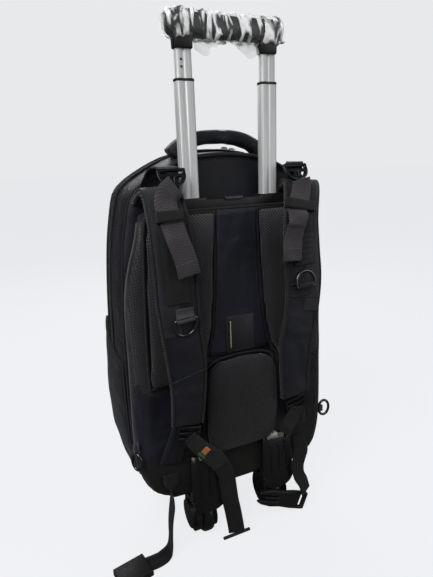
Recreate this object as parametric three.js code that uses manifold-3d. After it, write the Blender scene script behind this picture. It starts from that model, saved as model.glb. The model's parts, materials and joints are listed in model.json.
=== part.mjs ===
// Wheeled backpack with a two-stage pull handle, padded shoulder straps and two rear wheels.
// Millimetres, +Z up. Seen from behind the wearer: +X is to the right, +Y runs from the
// harness side to the front of the bag. The bag stands on its wheels and front feet at Z = 0.
import * as THREE from 'three';
import { mergeVertices } from 'three/addons/utils/BufferGeometryUtils.js';
import Module from 'manifold-3d';

const wasm = await Module();
wasm.setup();

// Bag body
const BAG_HALF_WIDTH = 162;
const BAG_BOTTOM = 80;
const BAG_HEIGHT = 494;
const BAG_TOP = BAG_BOTTOM + BAG_HEIGHT;
const REAR_WALL_Y = 38;
const REAR_HALF_DEPTH = 58;
const FRONT_HALF_DEPTH = 107;
const CLOTH = 2;
const GAP = 0.3;

// Harness panel, the padded tray over the pull handle's tubes
const PANEL_MARGIN = 22;
const PANEL_HALF_WIDTH = BAG_HALF_WIDTH - PANEL_MARGIN;
const PANEL_BOTTOM = BAG_BOTTOM + CLOTH;
const PANEL_DROP = 74;
const PANEL_TOP = BAG_TOP - PANEL_DROP;
const PANEL_Y = 8;
const PAD_THICKNESS = 8;
const PAD_CROWN = 4;
const PAD_BOTTOM = 268;
const CHANNEL_HALF_WIDTH = 30;
const CHANNEL_THICKNESS = 4;
const LUMBAR_HALF_WIDTH = 57;
const LUMBAR_HEIGHT = 144;
const LUMBAR_THICKNESS = 20;
const LABEL_WIDTH = 44;
const LABEL_HEIGHT = 53;
const LABEL_CENTRE_Z = 326;
const LABEL_THICKNESS = 1;
const WELT_RADIUS = 2.5;

// Pull handle
const TUBE_X = 57.6;
const TUBE_Y = 22;
const TUBE_WALL = 1.3;
const TUBE_PLAY = 0.4;
const OUTER_TUBE_WIDTH = 27.4;
const OUTER_TUBE_DEPTH = 17.4;
const SOCKET_HEIGHT = 14;
const SOCKET_WALL = 4.5;
const SOCKET_BAR_HEIGHT = 11;
const SOCKET_BAR_DEPTH = 24;
const MIDDLE_TUBE_LENGTH = 330;
const MIDDLE_TUBE_SHOWN = 141;
const COLLAR_HEIGHT = 4;
const COLLAR_RIM = 0.7;
const INNER_TUBE_LENGTH = 320;
const INNER_TUBE_SHOWN = 33;
const GRIP_HALF_LENGTH = 77;
const GRIP_HEIGHT = 29;
const GRIP_DEPTH = 22;
const GRIP_STEM = 12;
const GRIP_STEM_WIDTH = 28;
const GRIP_STEM_DEPTH = 20;
const FILM_THICKNESS = 0.7;

// Wheels and feet
const WHEEL_DIAMETER = 64;
const WHEEL_WIDTH = 18;
const WHEEL_X = 59;
const WHEEL_Y = 31;
const HUB_SIDE_PLAY = 1;
const AXLE_DIAMETER = 8;
const AXLE_PLAY = 0.5;
const GUARD_HALF_WIDTH = 26.5;
const GUARD_TOP = 148;
const GUARD_DROP = 25;
const GUARD_DEPTH = 68;
const GUARD_REACH = 13;
const INNER_CHEEK = 6;
const OUTER_CHEEK = 14;
const CHEEK_RADIUS = 27;
const WELL_PLAY = 3;
const BASE_PLATE_THICKNESS = 6;
const BASE_PLATE_HALF_WIDTH = 98;
const BASE_PLATE_REAR_Y = 50;
const BASE_PLATE_DEPTH = 116;
const BASE_PLATE_CORNER = 14;
const FOOT_X = 88;
const FOOT_Y = 136;
const FOOT_WIDTH = 22;
const FOOT_DEPTH = 28;
const FOOT_FLARE = 1.4;

// Shoulder straps and webbing
const STRAP_WIDTH = 56;
const STRAP_THICKNESS = 10;
const STRAP_SPREAD = 100;
const STRAP_REACH = 57.5;
const STRAP_CREST_DROP = 48;
const STRAP_CREST_Z = BAG_TOP - STRAP_CREST_DROP;
const STRAP_END_Z = 218;
const STRAP_FALL = STRAP_CREST_Z - STRAP_END_Z;
const WEBBING = 1.6;
const STRAP_WEBBING_START = 30;
const STRAP_WEBBING_LENGTH = { left: 106, right: 78 };
const LIFTER_WIDTH = 30;
const LIFTER_X = 88;
const LIFTER_Y = -3;
const LIFTER_DROP = 33;
const LIFTER_Z = BAG_TOP - LIFTER_DROP;
const LIFTER_TILT = 0.5;
const LIFTER_RISE = 6;
const LIFTER_WING_WIDTH = 28;
const LIFTER_BUCKLE_WIDTH = 36;
const LIFTER_BUCKLE_HEIGHT = 24;
const LIFTER_BUCKLE_THICKNESS = 4;
const TAIL_LENGTH = 104;
const KEEPER_DROP = 34;
const KEEPER_HEIGHT = 13;
const KEEPER_BAND = 1.2;
const STRAP_RING_DROP = { left: 160, right: 124 };
const STRAP_RING_WIDTH = 30;
const STRAP_RING_HEIGHT = 22;
const RING_WIRE = 3.6;
const RING_CORNER = 2.4;
const SIDE_RING_WIDTH = 20;
const SIDE_RING_HEIGHT = 30;
const SIDE_RING_Y = 21;
const SIDE_RING_Z = 157;
const SIDE_RING_OUT = 3.3;
const TAB_LENGTH = 13;
const TAB_WIDTH = 9;
const LOCK_WIDTH = 34;
const LOCK_HEIGHT = 20;
const LOCK_THICKNESS = 5;
const LOCK_BAR = 3.4;
const LOCK_TILT = 0.22;
const LOCK_LIFT = 0.78;
const WING_LENGTH = 76;
const WING_WIDTH = 32;
const WING_OUT = 20;
const WING_OVERLAP = 8;
const ADJUSTER_WIDTH = 25;
const HANG_BACK = 11;
const END_BAR_X = -20;
const END_BAR_LENGTH = 45;
const END_BAR_DIAMETER = 5;
const TWIST_ACROSS = 24;
const TWIST_DROP = 36;
const TWIST_FRONT = 5;
const TWIST_TURN = 1.25;
const SPARE_BUCKLE_WIDTH = 22;
const SPARE_BUCKLE_HEIGHT = 20;
const SPARE_BUCKLE_TURN = 0.95;
const BELT_WIDTH = 25;
const BELT_ROOT_X = { left: 113, right: 101 };
const BELT_ROOT_Z = 130;
const BELT_OUT = 46;
const BUCKLE_LENGTH = 46;
const BUCKLE_WIDTH = 36;
const BUCKLE_THICKNESS = 10;
const BUCKLE_TURN = 0.2;
const PLUG_LENGTH = 88;
const PLUG_WIDTH = 30;
const PLUG_LEAN = 0.36;
const PLUG_X = 103;
const PLUG_FRONT = 13;
const PLUG_Z = 20;

// Top handle, zip pulls and side pockets
const HANDLE_HALF_SPAN = 68;
const HANDLE_Y = 62;
const HANDLE_RISE = 29;
const HANDLE_WIDTH = 24;
const HANDLE_THICKNESS = 15;
const ZIP_PULL_LENGTH = 22;
const ZIP_PULL_WIDTH = 7;
const POCKET_BULGE = 9;
const POCKET_SEAM = 0.6;
const POCKET_BOTTOM = 128;
const POCKET_REAR_Y = 46;
const POCKET_FRONT_Y = 150;
const POCKET_MOUTH_FRONT_Z = 334;
const POCKET_MOUTH_DROP = 42;

const LUMBAR_BOTTOM = GUARD_TOP + 2 * GAP;
const ZIP_Y = REAR_WALL_Y + REAR_HALF_DEPTH;
const SOCKET_TOP = PANEL_TOP + GAP + SOCKET_HEIGHT;
const MIDDLE_TUBE_WIDTH = OUTER_TUBE_WIDTH - 2 * (TUBE_WALL + TUBE_PLAY);
const MIDDLE_TUBE_DEPTH = OUTER_TUBE_DEPTH - 2 * (TUBE_WALL + TUBE_PLAY);
const INNER_TUBE_WIDTH = MIDDLE_TUBE_WIDTH - 2 * (TUBE_WALL + TUBE_PLAY);
const INNER_TUBE_DEPTH = MIDDLE_TUBE_DEPTH - 2 * (TUBE_WALL + TUBE_PLAY);
const MIDDLE_TUBE_TOP = SOCKET_TOP + MIDDLE_TUBE_SHOWN;
const GRIP_STEM_BOTTOM = MIDDLE_TUBE_TOP + INNER_TUBE_SHOWN;

const COLOURS = {
  nylon: [0x1b1c22, 0.75, 0],
  mesh: [0x222226, 0.9, 0],
  webbing: [0x2a272c, 0.85, 0],
  plastic: [0x101114, 0.35, 0],
  aluminium: [0xc9ccd0, 0.3, 1],
  rubber: [0x17181a, 0.8, 0],
  metal: [0x8f9298, 0.3, 1],
  film: [0xf2f5f8, 0.15, 0],
  label: [0x0c0c0e, 0.6, 0],
  tab: [0xcfc8b4, 0.8, 0],
};

const bag = new THREE.Group();

function addPiece(name, geometry, finish) {
  const [color, roughness, metalness] = COLOURS[finish];
  const mesh = new THREE.Mesh(geometry, new THREE.MeshStandardMaterial({ color, roughness, metalness }));
  mesh.name = name;
  bag.add(mesh);
}

// A piece and its mirror copy on the other side, made by a function of the side, -1 or +1.
function addPair(name, makeGeometry, finish) {
  addPiece(name + '_left', makeGeometry(-1), finish);
  addPiece(name + '_right', makeGeometry(1), finish);
}

function v(x, y, z) {
  return new THREE.Vector3(x, y, z);
}

// Six times the signed volume: negative when the faces point in.
function signedVolume(points, faces) {
  let sum = 0;
  for (const [a, b, c] of faces) {
    sum += points[a].dot(points[b].clone().cross(points[c]));
  }
  return sum;
}

function geometryFrom(points, faces) {
  const outward = signedVolume(points, faces) > 0;
  const geometry = new THREE.BufferGeometry();
  const flat = points.flatMap((p) => [p.x, p.y, p.z]);
  geometry.setAttribute('position', new THREE.Float32BufferAttribute(flat, 3));
  geometry.setIndex(faces.flatMap(([a, b, c]) => (outward ? [a, b, c] : [a, c, b])));
  return geometry;
}

// A closed body through rings of points: capped at both ends, or joined last to first.
function skin(rings, joined = false) {
  const count = rings[0].length;
  const points = rings.flat();
  const faces = [];
  const last = joined ? rings.length : rings.length - 1;
  for (let r = 0; r < last; r += 1) {
    const here = r * count;
    const next = ((r + 1) % rings.length) * count;
    for (let i = 0; i < count; i += 1) {
      const j = (i + 1) % count;
      faces.push([here + i, here + j, next + j], [here + i, next + j, next + i]);
    }
  }
  if (!joined) {
    for (const [ring, start, turn] of [[rings[0], 0, true], [rings.at(-1), (rings.length - 1) * count, false]]) {
      const centre = ring.reduce((sum, p) => sum.add(p), v(0, 0, 0)).divideScalar(count);
      points.push(centre);
      for (let i = 0; i < count; i += 1) {
        const a = start + i;
        const b = start + ((i + 1) % count);
        faces.push(turn ? [points.length - 1, b, a] : [points.length - 1, a, b]);
      }
    }
  }
  return geometryFrom(points, faces);
}

const SQUARE = [[-1, -1], [1, -1], [1, 1], [-1, 1]];

function roundSection(count) {
  return Array.from({ length: count }, (_, i) => {
    const angle = (2 * Math.PI * i) / count;
    return [Math.cos(angle), Math.sin(angle)];
  });
}

// A flat pad's section: full width at half thickness, with rounded edges.
const PAD_SECTION = [
  [-1, 0], [-0.93, -0.72], [-0.62, -1], [0.62, -1], [0.93, -0.72],
  [1, 0], [0.93, 0.72], [0.62, 1], [-0.62, 1], [-0.93, 0.72],
];

// Stations along a smooth curve. across(share) gives the direction of the section's width.
function stationsOn(curve, from, to, steps, across, joined = false) {
  const count = joined ? steps : steps + 1;
  return Array.from({ length: count }, (_, i) => {
    const share = i / steps;
    const place = from + (to - from) * share;
    const at = curve.getPointAt(place);
    const along = curve.getTangentAt(place);
    const wide = across(share).clone();
    wide.addScaledVector(along, -wide.dot(along)).normalize();
    return { at, wide, thick: new THREE.Vector3().crossVectors(along, wide), share };
  });
}

function stations(path, steps, across, joined = false) {
  const curve = new THREE.CatmullRomCurve3(path, joined, 'centripetal');
  return stationsOn(curve, 0, 1, steps, across, joined);
}

function sweep(places, section, width, thickness, lift = 0, joined = false) {
  const rings = places.map(({ at, wide, thick, share }) => {
    const half = (typeof width === 'function' ? width(share) : width) / 2;
    return section.map(([a, b]) => at.clone()
      .addScaledVector(wide, a * half)
      .addScaledVector(thick, (b * thickness) / 2 + lift));
  });
  return skin(rings, joined);
}

const alongX = () => v(1, 0, 0);
const alongY = () => v(0, 1, 0);

// Turns the width from one direction to another between two shares of the path.
function turning(from, to, start, end) {
  return (share) => {
    const t = THREE.MathUtils.smoothstep(share, start, end);
    return from.clone().lerp(to, t);
  };
}

// Solids cut and joined
function solidOf(geometry) {
  const bare = geometry.clone();
  bare.deleteAttribute('normal');
  bare.deleteAttribute('uv');
  const merged = mergeVertices(bare, 1e-4);
  return new wasm.Manifold(new wasm.Mesh({
    numProp: 3,
    vertProperties: new Float32Array(merged.attributes.position.array),
    triVerts: new Uint32Array(merged.index.array),
  }));
}

function geometryOf(solid) {
  const mesh = solid.getMesh();
  const geometry = new THREE.BufferGeometry();
  geometry.setAttribute('position', new THREE.BufferAttribute(new Float32Array(mesh.vertProperties), 3));
  geometry.setIndex(new THREE.BufferAttribute(new Uint32Array(mesh.triVerts), 1));
  return geometry;
}

function box(x0, x1, y0, y1, z0, z1) {
  const geometry = new THREE.BoxGeometry(Math.abs(x1 - x0), Math.abs(y1 - y0), Math.abs(z1 - z0));
  geometry.translate((x0 + x1) / 2, (y0 + y1) / 2, (z0 + z1) / 2);
  return geometry;
}

// A cylinder lying along X.
function roller(radius, x0, x1, y, z, sides) {
  const geometry = new THREE.CylinderGeometry(radius, radius, Math.abs(x1 - x0), sides);
  geometry.rotateZ(Math.PI / 2);
  geometry.translate((x0 + x1) / 2, y, z);
  return geometry;
}

// An outline in X and Z, given depth along Y.
function plateXZ(shape, y, thickness, curveSegments = 8) {
  const geometry = new THREE.ExtrudeGeometry(shape, { depth: thickness, bevelEnabled: false, curveSegments });
  geometry.rotateX(Math.PI / 2);
  geometry.translate(0, y + thickness, 0);
  return geometry;
}

// The same as a solid, centred on Y = 0.
function prism(shape, thickness) {
  return solidOf(plateXZ(shape, -thickness / 2, thickness, 6));
}

// Bag body: half-width shares of BAG_HALF_WIDTH at height shares of BAG_HEIGHT.
const BODY_OUTLINE = [
  { height: 0, width: 0.6 }, { height: 0.01, width: 0.72 }, { height: 0.03, width: 0.83 },
  { height: 0.063, width: 0.92 }, { height: 0.11, width: 0.965 }, { height: 0.2, width: 0.995 },
  { height: 0.35, width: 1 }, { height: 0.52, width: 0.99 }, { height: 0.66, width: 0.965 },
  { height: 0.77, width: 0.93 }, { height: 0.848, width: 0.885 }, { height: 0.895, width: 0.845 },
  { height: 0.922, width: 0.77 }, { height: 0.945, width: 0.665 }, { height: 0.965, width: 0.55 },
  { height: 0.982, width: 0.43 }, { height: 0.994, width: 0.27 }, { height: 1, width: 0.1 },
];

// The body's outline at depth y, drawn in by a share of the half width and a clearance, from the bottom up the right and down the left.
function bodyRing(y, insetShare, clear = 0) {
  const inset = insetShare * BAG_HALF_WIDTH + clear;
  const centreZ = BAG_BOTTOM + BAG_HEIGHT / 2;
  const wide = BAG_HALF_WIDTH - inset;
  const tall = (BAG_HEIGHT / 2 - inset) / (BAG_HEIGHT / 2);
  const right = BODY_OUTLINE.map(({ height, width }) => (
    v(width * wide, y, centreZ + (height - 0.5) * BAG_HEIGHT * tall)));
  const left = right.map((p) => v(-p.x, p.y, p.z)).reverse();
  return [...right, ...left];
}

// The rear half's wall: how far in from the outline at each share of its depth.
const REAR_WALL = [
  { depth: 0, inset: 0.0864 }, { depth: 0.02, inset: 0.0556 }, { depth: 0.1, inset: 0.0309 },
  { depth: 0.32, inset: 0.0148 }, { depth: 0.66, inset: 0.0049 }, { depth: 1, inset: 0 },
];
const FRONT_WALL = [
  { depth: 0, inset: 0 }, { depth: 0.28, inset: 0.0123 }, { depth: 0.52, inset: 0.0432 }, { depth: 0.72, inset: 0.0988 },
  { depth: 0.87, inset: 0.1914 }, { depth: 0.96, inset: 0.321 }, { depth: 1, inset: 0.4815 },
];

function bodyHalf(rows, startY, depth, direction) {
  const outer = rows.map((row) => bodyRing(startY + direction * row.depth * depth, row.inset));
  const inner = rows.map((row) => {
    const inward = row.depth * (depth - CLOTH);
    return bodyRing(startY + direction * inward, row.inset, CLOTH);
  }).reverse();
  return skin([...outer.reverse(), ...inner.reverse()]);
}

function rearShell() {
  const outer = REAR_WALL.map((row) => bodyRing(REAR_WALL_Y + row.depth * REAR_HALF_DEPTH, row.inset));
  const inner = REAR_WALL.map((row) => bodyRing(
    REAR_WALL_Y + CLOTH + row.depth * (REAR_HALF_DEPTH - CLOTH), row.inset, CLOTH)).reverse();
  return skin([...outer, ...inner]);
}

// Pull tabs sit on the crown, so the top of the outline is shared.
function frontShell() {
  return bodyHalf(FRONT_WALL, ZIP_Y + GAP, FRONT_HALF_DEPTH, 1);
}

addPiece('main_shell_rear', rearShell(), 'nylon');
addPiece('main_shell_front', frontShell(), 'nylon');

// Harness panel: half-width shares of PANEL_HALF_WIDTH at height shares of its height.
const PANEL_OUTLINE = [
  { height: 0, width: 0.62 }, { height: 0.012, width: 0.78 }, { height: 0.04, width: 0.9 },
  { height: 0.09, width: 0.965 }, { height: 0.2, width: 1 }, { height: 0.5, width: 0.985 },
  { height: 0.75, width: 0.96 }, { height: 0.92, width: 0.925 }, { height: 0.985, width: 0.905 },
  { height: 1, width: 0.88 },
];

// depth: share from the panel's face to the bag; grow: outward of the face's outline.
const PANEL_WALL = [
  { depth: 1, grow: 0.1036, rise: 0 }, { depth: 0.66, grow: 0.0929, rise: 0 }, { depth: 0.33, grow: 0.0679, rise: 0.0036 },
  { depth: 0.1, grow: 0.0286, rise: 0.0214 }, { depth: 0, grow: -0.0214, rise: 0.0643 },
];

function panelRing(y, grow, bottom, top) {
  const scale = (PANEL_HALF_WIDTH + grow) / PANEL_HALF_WIDTH;
  const right = PANEL_OUTLINE.map(({ height, width }) => (
    v(width * PANEL_HALF_WIDTH * scale, y, bottom + height * (top - bottom))));
  const left = right.map((p) => v(-p.x, p.y, p.z)).reverse();
  return [...right, ...left];
}

function backPanel() {
  const depth = REAR_WALL_Y - GAP - PANEL_Y;
  const outer = PANEL_WALL.map((row) => panelRing(
    PANEL_Y + row.depth * depth, row.grow * PANEL_HALF_WIDTH, PANEL_BOTTOM + row.rise * PANEL_HALF_WIDTH, PANEL_TOP));
  const inner = PANEL_WALL.map((row) => panelRing(
    PANEL_Y + CLOTH + row.depth * (depth - CLOTH), row.grow * PANEL_HALF_WIDTH - CLOTH,
    PANEL_BOTTOM + row.rise * PANEL_HALF_WIDTH + CLOTH,
    PANEL_TOP - CLOTH)).reverse();
  let tray = solidOf(skin([...inner, ...outer]));
  for (const side of [-1, 1]) {
    const halfWide = OUTER_TUBE_WIDTH / 2 + TUBE_PLAY;
    const halfDeep = OUTER_TUBE_DEPTH / 2 + TUBE_PLAY;
    const x = side * TUBE_X;
    tray = tray.subtract(solidOf(box(
      x - halfWide, x + halfWide, TUBE_Y - halfDeep, TUBE_Y + halfDeep,
      PANEL_TOP - 2 * CLOTH, PANEL_TOP + CLOTH)));
  }
  return geometryOf(tray);
}

addPiece('back_panel', backPanel(), 'nylon');

// A pad with a crowned face: rings of its outline, drawn in towards its middle.
const PAD_FACE = [
  { draw: 0.985, rise: 0 }, { draw: 1, rise: 0.35 }, { draw: 0.975, rise: 0.85 },
  { draw: 0.86, rise: 1.1 }, { draw: 0.55, rise: 1.3 },
];

function pad(outline, backY, thickness, crown) {
  const middle = outline.reduce((sum, [x, z]) => [sum[0] + x / outline.length, sum[1] + z / outline.length], [0, 0]);
  const rings = PAD_FACE.map(({ draw, rise }) => outline.map(([x, z]) => {
    const rounding = Math.max(0, rise - 0.85) / 0.45;
    const y = backY - Math.min(rise / 0.85, 1) * thickness - rounding * crown;
    return v(middle[0] + (x - middle[0]) * draw, y, middle[1] + (z - middle[1]) * draw);
  }));
  return skin(rings);
}

// Mesh pads: inner and outer edge shares of the panel's half-width, at shares of the pad's height.
const MESH_PAD_EDGES = [
  { height: 1, inner: 0.227, outer: 0.87 }, { height: 0.88, inner: 0.228, outer: 0.905 },
  { height: 0.55, inner: 0.25, outer: 0.935 }, { height: 0.3, inner: 0.29, outer: 0.95 },
  { height: 0.13, inner: 0.36, outer: 0.955 }, { height: 0.06, inner: 0.44, outer: 0.955 },
  { height: 0, inner: 0.46, outer: 0.95 },
];

function meshPad(side) {
  const tall = PANEL_TOP - CLOTH - PAD_BOTTOM;
  const outer = MESH_PAD_EDGES.map((row) => [row.outer, row.height]);
  const inner = MESH_PAD_EDGES.map((row) => [row.inner, row.height]).reverse();
  const outline = [...outer, ...inner].map(([share, height]) => (
    [side * share * PANEL_HALF_WIDTH, PAD_BOTTOM + height * tall]));
  return pad(outline, PANEL_Y - GAP, PAD_THICKNESS, PAD_CROWN);
}

addPair('mesh_pad', meshPad, 'mesh');

const LUMBAR_OUTLINE = [
  { height: 0, width: 0.35 }, { height: 0, width: 0.72 }, { height: 0.05, width: 0.9 },
  { height: 0.18, width: 1 }, { height: 0.5, width: 1 }, { height: 0.82, width: 0.97 },
  { height: 0.92, width: 0.88 }, { height: 0.98, width: 0.6 }, { height: 1, width: 0.2 },
];

function lumbarPad() {
  const right = LUMBAR_OUTLINE.map(({ height, width }) => (
    [width * LUMBAR_HALF_WIDTH, LUMBAR_BOTTOM + height * LUMBAR_HEIGHT]));
  const left = right.map(([x, z]) => [-x, z]).reverse();
  return pad([...right, ...left], PANEL_Y - GAP, LUMBAR_THICKNESS * 0.6, LUMBAR_THICKNESS * 0.4);
}

addPiece('lumbar_pad', lumbarPad(), 'mesh');

// The smooth channel between the mesh pads widens downwards and ends over the lumbar pad.
function channelOutline() {
  const low = LUMBAR_BOTTOM + LUMBAR_HEIGHT + 2;
  const top = PANEL_TOP - CLOTH;
  const edge = MESH_PAD_EDGES.filter((row) => PAD_BOTTOM + row.height * (top - PAD_BOTTOM) > low);
  const right = edge.map((row) => [
    row.inner * PANEL_HALF_WIDTH - 1, PAD_BOTTOM + row.height * (top - PAD_BOTTOM)]).reverse();
  right[0][1] = low;
  return [...right, ...right.map(([x, z]) => [-x, z]).reverse()];
}

function channelPanel() {
  const outline = channelOutline();
  const limit = CHANNEL_HALF_WIDTH / (MESH_PAD_EDGES[0].inner * PANEL_HALF_WIDTH - 1);
  const shape = new THREE.Shape(outline.map(([x, z]) => new THREE.Vector2(x * Math.min(1, limit), z)));
  return plateXZ(shape, PANEL_Y - GAP - CHANNEL_THICKNESS, CHANNEL_THICKNESS);
}

addPiece('channel_panel', channelPanel(), 'nylon');

const LABEL_FACE_Y = PANEL_Y - GAP - CHANNEL_THICKNESS - GAP;
addPiece('label_patch', box(
  -LABEL_WIDTH / 2, LABEL_WIDTH / 2, LABEL_FACE_Y - LABEL_THICKNESS, LABEL_FACE_Y,
  LABEL_CENTRE_Z - LABEL_HEIGHT / 2, LABEL_CENTRE_Z + LABEL_HEIGHT / 2), 'label');

// The rolled edge along the rear shell's corner, over the top from shoulder strap to shoulder strap.
const WELT_INSET = WELT_RADIUS + 4;
const WELT_Y = REAR_WALL_Y - GAP - WELT_RADIUS / 8;
const WELT_START = 24;
const WELT_START_Z = PANEL_TOP + WELT_START;
function edgeWelt() {
  const path = bodyRing(WELT_Y, 0, WELT_INSET).filter((p) => p.z > WELT_START_Z);
  return sweep(stations(path, 22, alongY), roundSection(6), 2 * WELT_RADIUS, 2 * WELT_RADIUS);
}

addPiece('edge_welt', edgeWelt(), 'nylon');

// Tubes of the pull handle: a rounded box section with a shallow flute on each broad face.
const TUBE_SECTION = [
  [-1, -0.35], [-0.9, -0.78], [-0.7, -1], [-0.34, -1], [-0.22, -0.88], [0, -0.88], [0.12, -1],
  [0.7, -1], [0.9, -0.78], [1, -0.35], [1, 0.35], [0.9, 0.78], [0.7, 1], [0.12, 1], [0, 0.88],
  [-0.22, 0.88], [-0.34, 1], [-0.7, 1], [-0.9, 0.78], [-1, 0.35],
];

function tubeRing(side, width, depth, z) {
  return TUBE_SECTION.map(([a, b]) => v(side * TUBE_X + (a * width) / 2, TUBE_Y + (b * depth) / 2, z));
}

function tube(side, width, depth, bottom, top) {
  const wall = 2 * TUBE_WALL;
  return skin([
    tubeRing(side, width, depth, bottom), tubeRing(side, width, depth, top),
    tubeRing(side, width - wall, depth - wall, top), tubeRing(side, width - wall, depth - wall, bottom),
  ], true);
}

const OUTER_TUBE_TOP = SOCKET_TOP - CLOTH - GAP;
addPair('outer_tube', (side) => (
  tube(side, OUTER_TUBE_WIDTH, OUTER_TUBE_DEPTH, PANEL_BOTTOM + 2 * CLOTH + GAP * 8, OUTER_TUBE_TOP)), 'aluminium');

// The middle stage ends in a black collar that stands a little proud.
function middleTube(side) {
  const wall = 2 * TUBE_WALL;
  const bottom = MIDDLE_TUBE_TOP - MIDDLE_TUBE_LENGTH;
  const wide = MIDDLE_TUBE_WIDTH;
  const deep = MIDDLE_TUBE_DEPTH;
  const rim = 2 * COLLAR_RIM;
  const collarFoot = MIDDLE_TUBE_TOP - COLLAR_HEIGHT;
  return skin([
    tubeRing(side, wide, deep, bottom), tubeRing(side, wide, deep, collarFoot),
    tubeRing(side, wide + rim, deep + rim, collarFoot), tubeRing(side, wide + rim, deep + rim, MIDDLE_TUBE_TOP),
    tubeRing(side, wide - wall, deep - wall, MIDDLE_TUBE_TOP), tubeRing(side, wide - wall, deep - wall, bottom),
  ], true);
}

addPair('middle_tube', middleTube, 'aluminium');
addPair('inner_tube', (side) => (
  tube(side, INNER_TUBE_WIDTH, INNER_TUBE_DEPTH, GRIP_STEM_BOTTOM - GAP - INNER_TUBE_LENGTH,
    GRIP_STEM_BOTTOM - GAP)), 'aluminium');

// Plastic bar with a socket block round each tube.
function socketBar() {
  const low = PANEL_TOP + GAP;
  const blockWide = OUTER_TUBE_WIDTH / 2 + TUBE_PLAY + SOCKET_WALL;
  const blockDeep = OUTER_TUBE_DEPTH / 2 + TUBE_PLAY + SOCKET_WALL / 2;
  let bar = solidOf(box(
    -TUBE_X, TUBE_X, TUBE_Y - SOCKET_BAR_DEPTH / 2, TUBE_Y + SOCKET_BAR_DEPTH / 2, low, low + SOCKET_BAR_HEIGHT));
  for (const side of [-1, 1]) {
    const x = side * TUBE_X;
    bar = bar.add(solidOf(box(
      x - blockWide, x + blockWide, TUBE_Y - blockDeep, TUBE_Y + blockDeep, low, SOCKET_TOP)));
  }
  for (const side of [-1, 1]) {
    const x = side * TUBE_X;
    const outerWide = OUTER_TUBE_WIDTH / 2 + TUBE_PLAY;
    const outerDeep = OUTER_TUBE_DEPTH / 2 + TUBE_PLAY;
    const middleWide = MIDDLE_TUBE_WIDTH / 2 + TUBE_PLAY;
    const middleDeep = MIDDLE_TUBE_DEPTH / 2 + TUBE_PLAY;
    bar = bar.subtract(solidOf(box(
      x - outerWide, x + outerWide, TUBE_Y - outerDeep, TUBE_Y + outerDeep, low - CLOTH, OUTER_TUBE_TOP + GAP)));
    bar = bar.subtract(solidOf(box(
      x - middleWide, x + middleWide, TUBE_Y - middleDeep, TUBE_Y + middleDeep, low - CLOTH, SOCKET_TOP + CLOTH)));
  }
  return geometryOf(bar);
}

addPiece('socket_bar', socketBar(), 'plastic');

// Grip: half-height and half-depth shares along its length, with a stem over each tube.
const GRIP_ROWS = [
  { length: -1, size: 0.55 }, { length: -0.96, size: 0.82 }, { length: -0.86, size: 1 },
  { length: 0, size: 0.95 }, { length: 0.86, size: 1 }, { length: 0.96, size: 0.82 }, { length: 1, size: 0.55 },
];
const GRIP_CENTRE_Z = GRIP_STEM_BOTTOM + GRIP_STEM + GRIP_HEIGHT / 2;

function gripRings(extra, extraLength, sides) {
  return GRIP_ROWS.map(({ length, size }) => roundSection(sides).map(([a, b]) => v(
    length * (GRIP_HALF_LENGTH + extraLength),
    TUBE_Y + a * (size * GRIP_DEPTH / 2 + extra),
    GRIP_CENTRE_Z + b * (size * GRIP_HEIGHT / 2 + extra))));
}

function grip() {
  let body = solidOf(skin(gripRings(0, 0, 12)));
  for (const side of [-1, 1]) {
    const x = side * TUBE_X;
    body = body.add(solidOf(box(
      x - GRIP_STEM_WIDTH / 2, x + GRIP_STEM_WIDTH / 2, TUBE_Y - GRIP_STEM_DEPTH / 2,
      TUBE_Y + GRIP_STEM_DEPTH / 2, GRIP_STEM_BOTTOM, GRIP_CENTRE_Z)));
  }
  return geometryOf(body);
}

addPiece('grip', grip(), 'plastic');

// Clear protective film round the grip, open where the stems come out and at both ends.
function gripFilm() {
  const outer = gripRings(GAP + FILM_THICKNESS, 3, 12);
  const inner = gripRings(GAP, 3, 12).reverse();
  let film = solidOf(skin([...outer, ...inner], true));
  for (const side of [-1, 1]) {
    const x = side * TUBE_X;
    film = film.subtract(solidOf(box(
      x - GRIP_STEM_WIDTH / 2 - 2 * GAP, x + GRIP_STEM_WIDTH / 2 + 2 * GAP,
      TUBE_Y - GRIP_STEM_DEPTH / 2 - 2 * GAP, TUBE_Y + GRIP_STEM_DEPTH / 2 + 2 * GAP,
      GRIP_STEM_BOTTOM - GAP, GRIP_CENTRE_Z)));
  }
  return geometryOf(film);
}

addPiece('grip_film', gripFilm(), 'film');

// Wheels turn about X on a pin between the guard's cheeks.
const WHEEL_Z = WHEEL_DIAMETER / 2;
const HUB_HALF = (WHEEL_WIDTH / 2) + HUB_SIDE_PLAY;
const WHEEL_PROFILE = [
  { radius: 1, width: 0.4 }, { radius: 0.93, width: 1 }, { radius: 0.66, width: 1 },
  { radius: 0.62, width: 0.6 }, { radius: 0.3, width: 0.6 }, { radius: 0.28, width: 1 },
];

function wheel(side) {
  const radius = WHEEL_DIAMETER / 2;
  const bore = AXLE_DIAMETER / 2 + AXLE_PLAY;
  const half = WHEEL_WIDTH / 2;
  const right = WHEEL_PROFILE.map((row) => new THREE.Vector2(row.radius * radius, row.width * half));
  const left = WHEEL_PROFILE.map((row) => new THREE.Vector2(row.radius * radius, -row.width * half)).reverse();
  const profile = [
    new THREE.Vector2(bore, -half), ...left, ...right, new THREE.Vector2(bore, half), new THREE.Vector2(bore, -half)];
  const geometry = new THREE.LatheGeometry(profile, 24);
  geometry.rotateZ(Math.PI / 2);
  geometry.translate(side * WHEEL_X, WHEEL_Y, WHEEL_Z);
  return geometryOf(solidOf(geometry));
}

addPair('wheel', wheel, 'rubber');

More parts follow.
